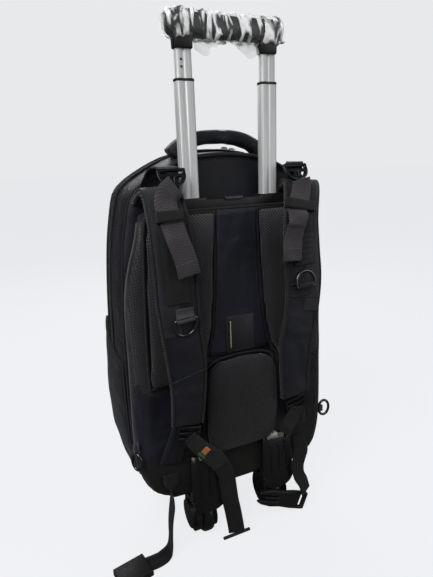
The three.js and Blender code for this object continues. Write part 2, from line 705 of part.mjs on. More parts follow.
// Guard: a cup under the bag's corner with a flat tongue up its back and two cheeks round the wheel.
function guardOutline(side) {
  const low = BAG_BOTTOM - GUARD_DROP;
  const shape = new THREE.Shape();
  const x0 = side * WHEEL_X - GUARD_HALF_WIDTH;
  const x1 = side * WHEEL_X + GUARD_HALF_WIDTH;
  const shoulder = BAG_BOTTOM - CLOTH;
  shape.moveTo(x0, shoulder);
  shape.bezierCurveTo(x0, low + GUARD_DROP / 3, x0 + GUARD_HALF_WIDTH / 3, low, side * WHEEL_X, low);
  shape.bezierCurveTo(x1 - GUARD_HALF_WIDTH / 3, low, x1, low + GUARD_DROP / 3, x1, shoulder);
  shape.closePath();
  return shape;
}

function wheelGuard(side) {
  const shoulder = BAG_BOTTOM - CLOTH;
  const rearY = PANEL_Y - GAP - GUARD_REACH;
  const x = side * WHEEL_X;
  const topWidth = GUARD_HALF_WIDTH * 0.92;
  const cup = solidOf(plateXZ(guardOutline(side), rearY, GUARD_DEPTH));
  const tongueRing = (z, half, back) => [
    v(x - half, PANEL_Y - GAP, z), v(x + half, PANEL_Y - GAP, z),
    v(x + half, back + 3, z), v(x + half - 5, back, z), v(x - half + 5, back, z), v(x - half, back + 3, z)];
  const tongue = solidOf(skin([
    tongueRing(shoulder - 1, GUARD_HALF_WIDTH, rearY), tongueRing(GUARD_TOP * 0.8, GUARD_HALF_WIDTH, rearY),
    tongueRing(GUARD_TOP - 6, topWidth, rearY + GUARD_REACH * 0.35),
    tongueRing(GUARD_TOP, topWidth * 0.9, rearY + GUARD_REACH * 0.6)]));
  const wellHalf = HUB_HALF;
  const inner = x - side * wellHalf;
  const outer = x + side * wellHalf;
  const cheekTop = BAG_BOTTOM - GUARD_DROP / 2;
  let guard = cup.add(tongue);
  for (const [from, thickness] of [[inner, -side * INNER_CHEEK], [outer, side * OUTER_CHEEK]]) {
    const narrow = from + thickness * 0.7;
    guard = guard.add(solidOf(roller(CHEEK_RADIUS, from, narrow, WHEEL_Y, WHEEL_Z, 20)));
    guard = guard.add(solidOf(roller(CHEEK_RADIUS * 0.8, from, from + thickness, WHEEL_Y, WHEEL_Z, 20)));
    guard = guard.add(solidOf(box(
      from, narrow, WHEEL_Y - CHEEK_RADIUS * 0.9, WHEEL_Y + CHEEK_RADIUS * 0.9, WHEEL_Z, cheekTop)));
  }
  guard = guard.subtract(solidOf(roller(
    WHEEL_DIAMETER / 2 + WELL_PLAY, inner, outer, WHEEL_Y, WHEEL_Z, 24)));
  guard = guard.add(solidOf(roller(
    AXLE_DIAMETER / 2, inner - side, outer + side, WHEEL_Y, WHEEL_Z, 12)));
  return geometryOf(guard);
}

addPair('wheel_guard', wheelGuard, 'plastic');

// Base plate under the bag, notched round the wheel guards, with two front feet.
const PLATE_TOP = BAG_BOTTOM - GAP;
function basePlate() {
  const half = BASE_PLATE_HALF_WIDTH;
  const r = BASE_PLATE_CORNER;
  const front = BASE_PLATE_REAR_Y + BASE_PLATE_DEPTH;
  const shape = new THREE.Shape();
  for (const [x, y, start] of [
    [half - r, front - r, 0], [-half + r, front - r, 1], [-half + r, BASE_PLATE_REAR_Y + r, 2],
    [half - r, BASE_PLATE_REAR_Y + r, 3]]) {
    shape.absarc(x, y, r, (start * Math.PI) / 2, ((start + 1) * Math.PI) / 2, false);
  }
  shape.closePath();
  const slab = new THREE.ExtrudeGeometry(shape, { depth: BASE_PLATE_THICKNESS, bevelEnabled: false, curveSegments: 4 });
  slab.translate(0, 0, PLATE_TOP - BASE_PLATE_THICKNESS);
  let plate = solidOf(slab);
  const guardFront = PANEL_Y - GAP - GUARD_REACH + GUARD_DEPTH;
  for (const side of [-1, 1]) {
    const x = side * WHEEL_X;
    plate = plate.subtract(solidOf(box(
      x - GUARD_HALF_WIDTH - GAP, x + GUARD_HALF_WIDTH + GAP, REAR_WALL_Y, guardFront + GAP,
      PLATE_TOP - 2 * BASE_PLATE_THICKNESS, PLATE_TOP + CLOTH)));
  }
  return geometryOf(plate);
}

addPiece('base_plate', basePlate(), 'plastic');

function frontFoot(side) {
  const top = PLATE_TOP - BASE_PLATE_THICKNESS - GAP;
  const ring = (z, share) => roundSection(12).map(([a, b]) => v(
    side * FOOT_X + a * share * FOOT_WIDTH / 2, FOOT_Y + b * share * FOOT_DEPTH / 2, z));
  return skin([ring(0, 0.9), ring(2, 1), ring(top * 0.8, FOOT_FLARE * 0.9), ring(top, FOOT_FLARE)]);
}

addPair('front_foot', frontFoot, 'plastic');

// Top grab handle: a padded arch that stands on the crown.
const HANDLE_PATH = [
  { span: -1, rise: 0 }, { span: -0.86, rise: 0.33 }, { span: -0.6, rise: 0.66 }, { span: -0.3, rise: 0.82 },
  { span: 0, rise: 0.86 }, { span: 0.3, rise: 0.82 }, { span: 0.6, rise: 0.66 }, { span: 0.86, rise: 0.33 },
  { span: 1, rise: 0 },
];

// Height of the bag's top at a distance from the centre line and a depth inside the rear half.
function topAt(x, y) {
  const share = (y - REAR_WALL_Y) / REAR_HALF_DEPTH;
  const above = REAR_WALL.findIndex((row) => row.depth >= share);
  const low = REAR_WALL[above - 1];
  const high = REAR_WALL[above];
  const t = (share - low.depth) / (high.depth - low.depth);
  const ring = bodyRing(y, low.inset + t * (high.inset - low.inset));
  const half = BODY_OUTLINE.length;
  for (let i = half - 1; i > 0; i -= 1) {
    if (ring[i - 1].x >= Math.abs(x) && ring[i].x <= Math.abs(x)) {
      const s = (Math.abs(x) - ring[i].x) / (ring[i - 1].x - ring[i].x);
      return ring[i].z + s * (ring[i - 1].z - ring[i].z);
    }
  }
  return ring[half - 1].z;
}

function grabHandle() {
  const footZ = topAt(HANDLE_HALF_SPAN, HANDLE_Y) + HANDLE_THICKNESS / 2 + GAP;
  const crown = BAG_TOP + HANDLE_RISE - HANDLE_THICKNESS / 2 - footZ;
  const path = HANDLE_PATH.map(({ span, rise }) => v(
    span * HANDLE_HALF_SPAN, HANDLE_Y, footZ + (rise / 0.86) * crown * 0.9));
  return sweep(stations(path, 16, alongY), PAD_SECTION, HANDLE_WIDTH, HANDLE_THICKNESS);
}

addPiece('grab_handle', grabHandle(), 'nylon');

// Zip pulls lying on the crown beside each other, just behind the zip.
function zipPull(side) {
  const start = 10 + (side > 0 ? ZIP_PULL_LENGTH + 2 : 0);
  const height = 2.6;
  const y = ZIP_Y - ZIP_PULL_WIDTH - 1;
  const near = topAt(start, y);
  const far = topAt(start + ZIP_PULL_LENGTH, y);
  const lift = GAP + height / 2 + 0.4;
  const path = [v(start, y, near + lift), v(start + ZIP_PULL_LENGTH / 2, y, (near + far) / 2 + lift + 0.4),
    v(start + ZIP_PULL_LENGTH, y, far + lift)];
  return sweep(stations(path, 6, alongY), roundSection(8), ZIP_PULL_WIDTH, height);
}

addPair('zip_pull', zipPull, 'metal');

// Side pockets: a bulging sheet over the lower side, open along its slanting mouth.
function sideHalfWidth(y, z) {
  const rear = y < ZIP_Y;
  const rows = rear ? REAR_WALL : FRONT_WALL;
  const start = rear ? REAR_WALL_Y : ZIP_Y + GAP;
  const depth = rear ? REAR_HALF_DEPTH : FRONT_HALF_DEPTH;
  const share = Math.min(Math.max((y - start) / depth, 0), 1);
  const above = Math.max(1, rows.findIndex((row) => row.depth >= share));
  const t = (share - rows[above - 1].depth) / (rows[above].depth - rows[above - 1].depth);
  const inset = rows[above - 1].inset + t * (rows[above].inset - rows[above - 1].inset);
  const ring = bodyRing(y, inset).slice(0, BODY_OUTLINE.length);
  const k = Math.max(1, ring.findIndex((p) => p.z >= z));
  const s = (z - ring[k - 1].z) / (ring[k].z - ring[k - 1].z);
  return ring[k - 1].x + s * (ring[k].x - ring[k - 1].x);
}

// A closed body of cloth between two grids of points of the same size.
function clothBetween(outer, inner) {
  const rows = outer.length;
  const columns = outer[0].length;
  const points = [...outer.flat(), ...inner.flat()];
  const under = rows * columns;
  const faces = [];
  for (let r = 0; r < rows - 1; r += 1) {
    for (let c = 0; c < columns - 1; c += 1) {
      const a = r * columns + c;
      const b = a + 1;
      const d = a + columns;
      faces.push([a, b, d + 1], [a, d + 1, d], [under + a, under + d + 1, under + b], [under + a, under + d, under + d + 1]);
    }
  }
  const edge = [
    ...Array.from({ length: columns - 1 }, (_, c) => c),
    ...Array.from({ length: rows - 1 }, (_, r) => r * columns + columns - 1),
    ...Array.from({ length: columns - 1 }, (_, c) => under - 1 - c),
    ...Array.from({ length: rows - 1 }, (_, r) => (rows - 1 - r) * columns),
  ];
  edge.forEach((a, i) => {
    const b = edge[(i + 1) % edge.length];
    faces.push([b, a, under + a], [b, under + a, under + b]);
  });
  return geometryFrom(points, faces);
}

// Open pocket of flat cloth sewn to the bag's side, its mouth higher at the front.
function sidePocket(side) {
  const columns = 8;
  const rowsHigh = 10;
  const sheet = (lift) => Array.from({ length: rowsHigh + 1 }, (_, r) => (
    Array.from({ length: columns + 1 }, (__, c) => {
      const u = c / columns;
      const w = (r / rowsHigh) ** 1.8;
      const y = POCKET_REAR_Y + u * (POCKET_FRONT_Y - POCKET_REAR_Y);
      const mouth = POCKET_MOUTH_FRONT_Z - POCKET_MOUTH_DROP * (1 - u);
      const z = POCKET_BOTTOM + w * (mouth - POCKET_BOTTOM);
      const bulge = POCKET_BULGE * Math.sin(Math.PI * u) ** 0.7 * Math.min(1, 1.15 * Math.sin(Math.PI * w * 0.62));
      return v(side * (sideHalfWidth(y, z) + POCKET_SEAM + bulge + lift), y, z);
    })));
  return clothBetween(sheet(CLOTH), sheet(0));
}

addPair('side_pocket', sidePocket, 'nylon');

// Shoulder straps hang a little to the left. Sideways places are shares of STRAP_SPREAD, reach is a
// share of STRAP_REACH out from the bag, fall is a share of STRAP_FALL and width of STRAP_WIDTH.
const STRAP_TABLE = [
  { fall: 0.048, reach: 0, left: 1.05, right: 1.05, width: 0.9 },
  { fall: 0.048, reach: 0.1, left: 1.05, right: 1.05, width: 0.9 },
  { fall: 0.005, reach: 0.3, left: 1.04, right: 1.03, width: 0.92 },
  { fall: 0, reach: 0.55, left: 1.03, right: 1.0, width: 0.95 },
  { fall: 0.03, reach: 0.76, left: 1.02, right: 0.96, width: 1 },
  { fall: 0.075, reach: 0.87, left: 1.01, right: 0.9, width: 1.02 },
  { fall: 0.15, reach: 0.94, left: 1, right: 0.86, width: 1.03 },
  { fall: 0.29, reach: 0.97, left: 0.975, right: 0.87, width: 0.98 },
  { fall: 0.45, reach: 0.97, left: 0.96, right: 0.905, width: 0.98 },
  { fall: 0.6, reach: 0.965, left: 0.92, right: 0.87, width: 0.97 },
  { fall: 0.74, reach: 0.955, left: 0.88, right: 0.785, width: 0.93 },
  { fall: 0.9, reach: 0.935, left: 0.885, right: 0.785, width: 0.84 },
  { fall: 1, reach: 0.91, left: 0.915, right: 0.8, width: 0.82 },
];
const STRAP_STEPS = 18;

const LEFT_OR_RIGHT = (side) => (side < 0 ? 'left' : 'right');

function strapCurve(side) {
  const path = STRAP_TABLE.map((row) => v(
    side * row[LEFT_OR_RIGHT(side)] * STRAP_SPREAD, REAR_WALL_Y - GAP - row.reach * STRAP_REACH,
    STRAP_CREST_Z - row.fall * STRAP_FALL));
  return new THREE.CatmullRomCurve3(path, false, 'centripetal');
}

const STRAP_CURVES = { left: strapCurve(-1), right: strapCurve(1) };

function strapWidth(place) {
  const at = place * (STRAP_TABLE.length - 1);
  const i = Math.min(Math.floor(at), STRAP_TABLE.length - 2);
  return STRAP_WIDTH * THREE.MathUtils.lerp(STRAP_TABLE[i].width, STRAP_TABLE[i + 1].width, at - i);
}

function shoulderStrap(side) {
  const curve = STRAP_CURVES[LEFT_OR_RIGHT(side)];
  const places = stationsOn(curve, 0, 1, STRAP_STEPS, alongX);
  return sweep(places, PAD_SECTION, strapWidth, STRAP_THICKNESS);
}

addPair('shoulder_strap', shoulderStrap, 'nylon');

// Where on the strap's curve, as a share of its length, its hanging front reaches a height.
function strapShare(side, z) {
  const curve = STRAP_CURVES[LEFT_OR_RIGHT(side)];
  let low = 0.1;
  let high = 1;
  for (let i = 0; i < 30; i += 1) {
    const mid = (low + high) / 2;
    if (curve.getPointAt(mid).z > z) {
      low = mid;
    } else {
      high = mid;
    }
  }
  return low;
}

function strapAt(side, z) {
  return STRAP_CURVES[LEFT_OR_RIGHT(side)].getPointAt(strapShare(side, z));
}

// The strap's middle at a height, with its sideways direction and the direction out of its front.
function strapFrame(side, z) {
  const share = strapShare(side, z);
  return stationsOn(STRAP_CURVES[LEFT_OR_RIGHT(side)], share, share - 0.01, 1, alongX)[0];
}

const STRAP_FRONT = STRAP_THICKNESS / 2 + GAP;

// Webbing sewn along the strap's front.
function strapWebbing(side) {
  const top = STRAP_CREST_Z - STRAP_WEBBING_START;
  const length = STRAP_WEBBING_LENGTH[LEFT_OR_RIGHT(side)];
  const curve = STRAP_CURVES[LEFT_OR_RIGHT(side)];
  const places = stationsOn(curve, strapShare(side, top), strapShare(side, top - length), 10, alongX);
  return sweep(places, SQUARE, LIFTER_WIDTH, WEBBING, STRAP_FRONT + WEBBING / 2);
}

addPair('strap_webbing', strapWebbing, 'webbing');

// Load lifter: a wing from the welt, a ladder buckle, and the webbing's free tail.
function lifterBuckle(side) {
  const half = LIFTER_BUCKLE_WIDTH / 2;
  const drop = LIFTER_BUCKLE_HEIGHT;
  const shape = new THREE.Shape();
  shape.moveTo(-half, 0);
  shape.lineTo(half, 0);
  shape.lineTo(half, -drop * 0.4);
  shape.bezierCurveTo(half * 0.9, -drop * 0.85, half * 0.45, -drop, 0, -drop);
  shape.bezierCurveTo(-half * 0.45, -drop, -half * 0.9, -drop * 0.85, -half, -drop * 0.4);
  shape.closePath();
  const openings = [
    [[-0.78, -0.14], [0.78, -0.14], [0.78, -0.3], [-0.78, -0.3]],
    [[-0.72, -0.46], [-0.2, -0.46], [-0.42, -0.8]], [[-0.1, -0.46], [0.1, -0.46], [0, -0.86]],
    [[0.2, -0.46], [0.72, -0.46], [0.42, -0.8]],
  ];
  let plate = prism(shape, LIFTER_BUCKLE_THICKNESS);
  for (const corners of openings) {
    const hole = new THREE.Shape(corners.map(([a, b]) => new THREE.Vector2(a * half, b * drop)));
    plate = plate.subtract(prism(hole, 2 * LIFTER_BUCKLE_THICKNESS));
  }
  const geometry = geometryOf(plate);
  geometry.translate(0, 0, drop / 2);
  geometry.rotateX(-LIFTER_TILT);
  geometry.translate(side * LIFTER_X, LIFTER_Y, LIFTER_Z);
  return geometry;
}

addPair('lifter_buckle', lifterBuckle, 'plastic');

// The buckle's top and bottom edges, from its tilt.
const BUCKLE_HALF_RISE = (LIFTER_BUCKLE_HEIGHT / 2) * Math.cos(LIFTER_TILT);
const BUCKLE_HALF_LEAN = (LIFTER_BUCKLE_HEIGHT / 2) * Math.sin(LIFTER_TILT);

// Rows run from the welt to the buckle: shares of the way, sideways and up, and of LIFTER_WING_WIDTH.
const WING_ROWS = [
  { way: 0, across: 0, rise: 0, width: 1.12 }, { way: 0.14, across: 0.02, rise: 0.3, width: 1.1 },
  { way: 0.32, across: 0.12, rise: 0.7, width: 1.05 }, { way: 0.52, across: 0.28, rise: 1, width: 1 },
  { way: 0.7, across: 0.46, rise: 0.95, width: 0.96 }, { way: 0.86, across: 0.76, rise: 0.6, width: 0.94 },
  { way: 1, across: 1, rise: 0, width: 0.94 },
];

function lifterWing(side) {
  const seam = bodyRing(WELT_Y - WELT_RADIUS - GAP, 0, WELT_INSET);
  const first = seam.findIndex((p) => p.z > WELT_START_Z);
  const low = seam[first];
  const high = seam[first + 2];
  const root = low.clone().lerp(high, 0.45);
  const end = v(
    LIFTER_X, LIFTER_Y + BUCKLE_HALF_LEAN + (LIFTER_BUCKLE_THICKNESS / 2) * Math.cos(LIFTER_TILT) + GAP,
    LIFTER_Z + BUCKLE_HALF_RISE);
  const slope = v(low.x - high.x, 0, low.z - high.z).normalize();
  const rings = WING_ROWS.map(({ way, across, rise, width }) => {
    const centre = v(
      THREE.MathUtils.lerp(root.x, end.x, across), THREE.MathUtils.lerp(root.y, end.y, way),
      THREE.MathUtils.lerp(root.z, end.z, way) + rise * LIFTER_RISE);
    const wide = slope.clone().lerp(v(1, 0, 0), THREE.MathUtils.smoothstep(way, 0.15, 0.8)).normalize();
    const up = v(-wide.z, 0, wide.x);
    return SQUARE.map(([a, b]) => centre.clone()
      .addScaledVector(wide, (a * width * LIFTER_WING_WIDTH) / 2).addScaledVector(up, b * WEBBING));
  });
  return skin(rings.map((ring) => ring.map((p) => v(side * p.x, p.y, p.z))));
}

addPair('lifter_wing', lifterWing, 'nylon');

// The tail leaves the buckle, goes under the keeper and hangs free over the strap: shares of TAIL_LENGTH.
const TAIL_TABLES = {
  left: [
    { drop: 0.16, out: 0, shift: -0.01 }, { drop: 0.3, out: 0, shift: 0 }, { drop: 0.42, out: 0, shift: 0.02 },
    { drop: 0.6, out: 0.05, shift: 0.05 }, { drop: 0.82, out: 0.08, shift: 0.1 }, { drop: 1, out: 0.07, shift: 0.13 },
  ],
  right: [
    { drop: 0.16, out: 0.01, shift: -0.06 }, { drop: 0.3, out: 0.008, shift: -0.1 }, { drop: 0.37, out: 0.016, shift: -0.12 },
    { drop: 0.47, out: 0.11, shift: -0.14 }, { drop: 0.57, out: 0.07, shift: -0.16 }, { drop: 0.68, out: 0.035, shift: -0.18 },
    { drop: 0.85, out: 0.03, shift: -0.2 }, { drop: 1, out: 0.03, shift: -0.22 },
  ],
};
const TAIL_TOP = LIFTER_Z - BUCKLE_HALF_RISE;
const TAIL_BACK = STRAP_FRONT + WEBBING + 2 * GAP;

function tailPath(side) {
  return TAIL_TABLES[LEFT_OR_RIGHT(side)].map(({ drop, out, shift }) => {
    const { at, thick } = strapFrame(side, TAIL_TOP - drop * TAIL_LENGTH);
    return at.clone().addScaledVector(thick, TAIL_BACK + WEBBING / 2 + out * TAIL_LENGTH).add(v(shift * TAIL_LENGTH, 0, 0));
  });
}

function lifterTail(side) {
  const start = v(
    side * LIFTER_X, LIFTER_Y - BUCKLE_HALF_LEAN - LIFTER_BUCKLE_THICKNESS / 2 - 2 * WEBBING, TAIL_TOP + WEBBING);
  return sweep(stations([start, ...tailPath(side)], 16, alongX), SQUARE, LIFTER_WIDTH * 0.95, WEBBING);
}

addPair('lifter_tail', lifterTail, 'webbing');

// Elastic keeper: a staple-shaped band over the tail and the strap webbing.
function strapKeeper(side) {
  const z = TAIL_TOP - KEEPER_DROP;
  const { at, wide, thick } = strapFrame(side, z);
  const tail = new THREE.CatmullRomCurve3(tailPath(side), false, 'centripetal').getSpacedPoints(60)
    .reduce((best, p) => (Math.abs(p.z - z) < Math.abs(best.z - z) ? p : best));
  const shift = tail.x - at.x;
  const half = Math.abs(shift) / 2 + LIFTER_WIDTH / 2 + GAP + KEEPER_BAND;
  const foot = STRAP_FRONT + KEEPER_BAND / 2;
  const over = TAIL_BACK + WEBBING + 5 * GAP + KEEPER_BAND;
  const rows = [
    [-half, foot], [-half, over - KEEPER_BAND], [-half + KEEPER_BAND, over], [0, over + KEEPER_BAND / 4],
    [half - KEEPER_BAND, over], [half, over - KEEPER_BAND], [half, foot]];
  const sideways = Math.sign(wide.x);
  const path = rows.map(([across, out]) => at.clone()
    .addScaledVector(wide, sideways * (across + shift / 2)).addScaledVector(thick, out));
  const tall = new THREE.Vector3().crossVectors(wide, thick);
  return sweep(stations(path, 12, () => tall), SQUARE, KEEPER_HEIGHT, KEEPER_BAND);
}

addPair('strap_keeper', strapKeeper, 'webbing');

// Stations at the points of a closed polygon.
function stationsRound(points, across) {
  return points.map((at, i) => {
    const along = points[(i + 1) % points.length].clone().sub(points.at(i - 1)).normalize();
    const wide = across.clone().addScaledVector(along, -across.dot(along)).normalize();
    return { at, wide, thick: new THREE.Vector3().crossVectors(along, wide), share: i / points.length };
  });
}

// Closed wire ring, a rounded rectangle.
function ringLoop(centre, wide, tall, width, height) {
  const halfWide = (width - RING_WIRE) / 2;
  const halfTall = (height - RING_WIRE) / 2;
  const points = [];
  for (const [a, b, start] of [[1, 1, 0], [-1, 1, 1], [-1, -1, 2], [1, -1, 3]]) {
    for (let i = 0; i < 3; i += 1) {
      const angle = ((start + i / 2) * Math.PI) / 2;
      points.push(centre.clone()
        .addScaledVector(wide, a * (halfWide - RING_CORNER) + RING_CORNER * Math.cos(angle))
        .addScaledVector(tall, b * (halfTall - RING_CORNER) + RING_CORNER * Math.sin(angle)));
    }
  }
  const normal = new THREE.Vector3().crossVectors(wide, tall);
  return sweep(stationsRound(points, normal), roundSection(6), RING_WIRE, RING_WIRE, 0, true);
}

function strapRing(side) {
  const place = strapFrame(side, STRAP_CREST_Z - STRAP_RING_DROP[LEFT_OR_RIGHT(side)]);
  const lift = STRAP_FRONT + RING_WIRE / 2;
  const centre = place.at.clone().addScaledVector(place.thick, lift);
  const tall = new THREE.Vector3().crossVectors(place.thick, place.wide);
  return ringLoop(centre, place.wide, tall, STRAP_RING_WIDTH, STRAP_RING_HEIGHT);
}

addPair('strap_ring', strapRing, 'metal');

// The left side ring lies flat on the bag's side; the right one has swung out to face backwards.
const TAB_RADIUS = RING_WIRE / 2 + GAP + WEBBING / 2;
const SIDE_RING_X = PANEL_HALF_WIDTH * (1 + PANEL_WALL[1].grow) + SIDE_RING_OUT;

function sideRing(side) {
  if (side < 0) {
    return ringLoop(v(-SIDE_RING_X, SIDE_RING_Y, SIDE_RING_Z), v(0, 1, 0), v(0, 0, 1), SIDE_RING_WIDTH, SIDE_RING_HEIGHT);
  }
  return ringLoop(v(SIDE_RING_X + (SIDE_RING_WIDTH - RING_WIRE) / 2, SIDE_RING_Y, SIDE_RING_Z), v(1, 0, 0), v(0, 0, 1),
    SIDE_RING_WIDTH, SIDE_RING_HEIGHT);
}

addPair('side_ring', sideRing, 'metal');

// Webbing tab that holds each side ring against the bag: round the ring's wire, both ends to the bag.
function sideRingTab(side) {
  const turn = 8;
  const bend = (centre, start, u, w) => Array.from({ length: turn + 1 }, (_, i) => {
    const angle = start + (Math.PI * i) / turn;
    return centre.clone().addScaledVector(u, TAB_RADIUS * Math.cos(angle)).addScaledVector(w, TAB_RADIUS * Math.sin(angle));
  });
  if (side < 0) {
    const wire = v(-SIDE_RING_X, SIDE_RING_Y, SIDE_RING_Z + (SIDE_RING_HEIGHT - RING_WIRE) / 2);
    const loop = bend(wire, 0, v(1, 0, 0), v(0, 0, -1));
    const tail = v(0, 0, TAB_LENGTH);
    const path = [loop[0].clone().add(tail), ...loop, loop.at(-1).clone().add(tail)];
    return sweep(stations(path, 16, alongY), SQUARE, TAB_WIDTH, WEBBING);
  }
  const wire = v(SIDE_RING_X, SIDE_RING_Y, SIDE_RING_Z);
  const loop = bend(wire, 0, v(0, 1, 0), v(1, 0, 0));
  const tail = v(-SIDE_RING_OUT * 1.31, 0, 0);
  const path = [loop[0].clone().add(tail), ...loop, loop.at(-1).clone().add(tail)];
  return sweep(stations(path, 14, () => v(0, 0, 1)), SQUARE, TAB_WIDTH, WEBBING);
}

addPair('side_ring_tab', sideRingTab, 'webbing');

// Lower strap ends: a ladder lock below each strap, the wing behind it and the adjusting webbing.
const LOCK_PLACES = { left: strapAt(-1, STRAP_END_Z), right: strapAt(1, STRAP_END_Z) };
const LOCK_Z = STRAP_END_Z - GAP - LOCK_HEIGHT / 2 - Math.sin(LOCK_TILT) * (LOCK_WIDTH / 2) + LOCK_LIFT;

function lockCentre(side) {
  const end = LOCK_PLACES[LEFT_OR_RIGHT(side)];
  return v(end.x, end.y - LOCK_THICKNESS / 2, LOCK_Z);
}

function adjusterLock(side) {
  let lock = solidOf(box(
    -LOCK_WIDTH / 2, LOCK_WIDTH / 2, -LOCK_THICKNESS / 2, LOCK_THICKNESS / 2, -LOCK_HEIGHT / 2, LOCK_HEIGHT / 2));
  const slotHeight = (LOCK_HEIGHT - 3 * LOCK_BAR) / 2;
  for (const way of [-1, 1]) {
    const z = (way * (LOCK_BAR + slotHeight)) / 2;
    lock = lock.subtract(solidOf(box(
      -LOCK_WIDTH / 2 + LOCK_BAR, LOCK_WIDTH / 2 - LOCK_BAR, -LOCK_THICKNESS, LOCK_THICKNESS,
      z - slotHeight / 2, z + slotHeight / 2)));
  }
  const geometry = geometryOf(lock);
  const centre = lockCentre(side);
  geometry.rotateY(-side * LOCK_TILT);
  geometry.translate(centre.x, centre.y, centre.z);
  return geometry;
}

addPair('adjuster_lock', adjusterLock, 'plastic');

// Cloth wing from the panel's lower corner up behind the strap's end: shares of WING_LENGTH and WING_OUT.
const WING_TABLE = [
  { up: 0, out: 1, front: 0 }, { up: 0.3, out: 0.75, front: 0.35 }, { up: 0.68, out: 0.35, front: 0.8 },
  { up: 1, out: 0.1, front: 1 },
];

function anchorWing(side) {
  const end = LOCK_PLACES[LEFT_OR_RIGHT(side)];
  const rootY = PANEL_Y - 3 * GAP - WEBBING;
  const tipY = end.y + STRAP_THICKNESS / 2 + 2 * GAP + WEBBING;
  const path = WING_TABLE.map(({ up, out, front }) => v(
    end.x + side * out * WING_OUT, rootY + front * (tipY - rootY), STRAP_END_Z + WING_OVERLAP - (1 - up) * WING_LENGTH));
  return sweep(stations(path, 8, alongX), SQUARE, (share) => WING_WIDTH * (1 - 0.2 * share), 2 * WEBBING);
}

addPair('anchor_wing', anchorWing, 'nylon');

// Adjusting webbing. Left: slants to the middle and hangs to its stop bar on the ground. Rows are shares
// of the way down and across from the lock to the bar, and of HANG_BACK back towards the panel.
const HANG_TABLE = [
  { down: 0, across: 0, back: 0 }, { down: 0.08, across: 0.15, back: -0.05 }, { down: 0.2, across: 0.42, back: 0.05 },
  { down: 0.34, across: 0.7, back: 0.35 }, { down: 0.5, across: 0.8, back: 0.68 }, { down: 0.66, across: 0.85, back: 0.7 },
  { down: 0.82, across: 0.93, back: 0.8 }, { down: 1, across: 1, back: 1 },
];

// Where the webbing leaves the lock's lower slot, in front of its bar.
function slotExit(side) {
  const lock = lockCentre(side);
  return v(lock.x, lock.y - LOCK_THICKNESS / 2 - 3 * GAP - WEBBING / 2, lock.z - LOCK_HEIGHT * 0.2);
}

function hangPath() {
  const start = slotExit(-1);
  const endZ = END_BAR_DIAMETER + 3 * GAP;
  return HANG_TABLE.map(({ down, across, back }) => v(
    start.x + across * (END_BAR_X - start.x), start.y + back * HANG_BACK, start.z + down * (endZ - start.z)));
}

// Right: a short run that twists on its way down, in shares of TWIST_ACROSS, TWIST_DROP and TWIST_FRONT.
const TWIST_TABLE = [
  { down: 0, across: 0, front: 0 }, { down: 0.15, across: 0.02, front: 0 }, { down: 0.34, across: 0.3, front: 0.4 }, { down: 0.65, across: 0.8, front: 1 },
  { down: 1, across: 1, front: 1 },
];

function adjusterWebbing(side) {
  if (side < 0) {
    const lie = turning(v(0.92, 0, 0.38), v(0.93, -0.36, 0), 0.3, 0.6);
    const width = (share) => ADJUSTER_WIDTH * Math.min(1, 0.75 + share);
    return sweep(stations(hangPath(), 22, lie), SQUARE, width, WEBBING);
  }
  const start = slotExit(side);
  const path = TWIST_TABLE.map(({ down, across, front }) => v(
    start.x - across * TWIST_ACROSS, start.y - front * TWIST_FRONT, start.z - down * TWIST_DROP));
  const lie = (share) => {
    const turn = TWIST_TURN * THREE.MathUtils.smoothstep(share, 0.3, 1);
    return v(Math.cos(turn), -Math.sin(turn), 0);
  };
  return sweep(stations(path, 18, lie), SQUARE, ADJUSTER_WIDTH * 0.8, WEBBING);
}

addPair('adjuster_webbing', adjusterWebbing, 'webbing');

// Stop bar at the end of the hanging webbing, resting on the ground.
const HANG_END = hangPath().at(-1);
addPiece('webbing_end_bar', roller(
  END_BAR_DIAMETER / 2, END_BAR_X - END_BAR_LENGTH / 2, END_BAR_X + END_BAR_LENGTH / 2, HANG_END.y,
  END_BAR_DIAMETER / 2 + GAP, 10), 'plastic');

// Spare ladder buckle at the end of the right webbing, seen nearly edge on.
function spareBuckle() {
  const exit = slotExit(1);
  const half = SPARE_BUCKLE_HEIGHT / 2;
  const slotTop = half - LOCK_BAR;
  let frame = solidOf(box(-SPARE_BUCKLE_WIDTH / 2, SPARE_BUCKLE_WIDTH / 2, -WEBBING, WEBBING, -half, half));
  for (const way of [-1, 1]) {
    frame = frame.subtract(solidOf(box(
      -SPARE_BUCKLE_WIDTH / 2 + LOCK_BAR, SPARE_BUCKLE_WIDTH / 2 - LOCK_BAR, -2 * WEBBING, 2 * WEBBING,
      way * slotTop, (way * LOCK_BAR) / 2)));
  }
  const geometry = geometryOf(frame);
  geometry.rotateZ(SPARE_BUCKLE_TURN);
  geometry.translate(
    exit.x - TWIST_ACROSS, exit.y - TWIST_FRONT, exit.z - TWIST_DROP - half - 2 * GAP);
  return geometry;
}

addPiece('spare_buckle', spareBuckle(), 'plastic');

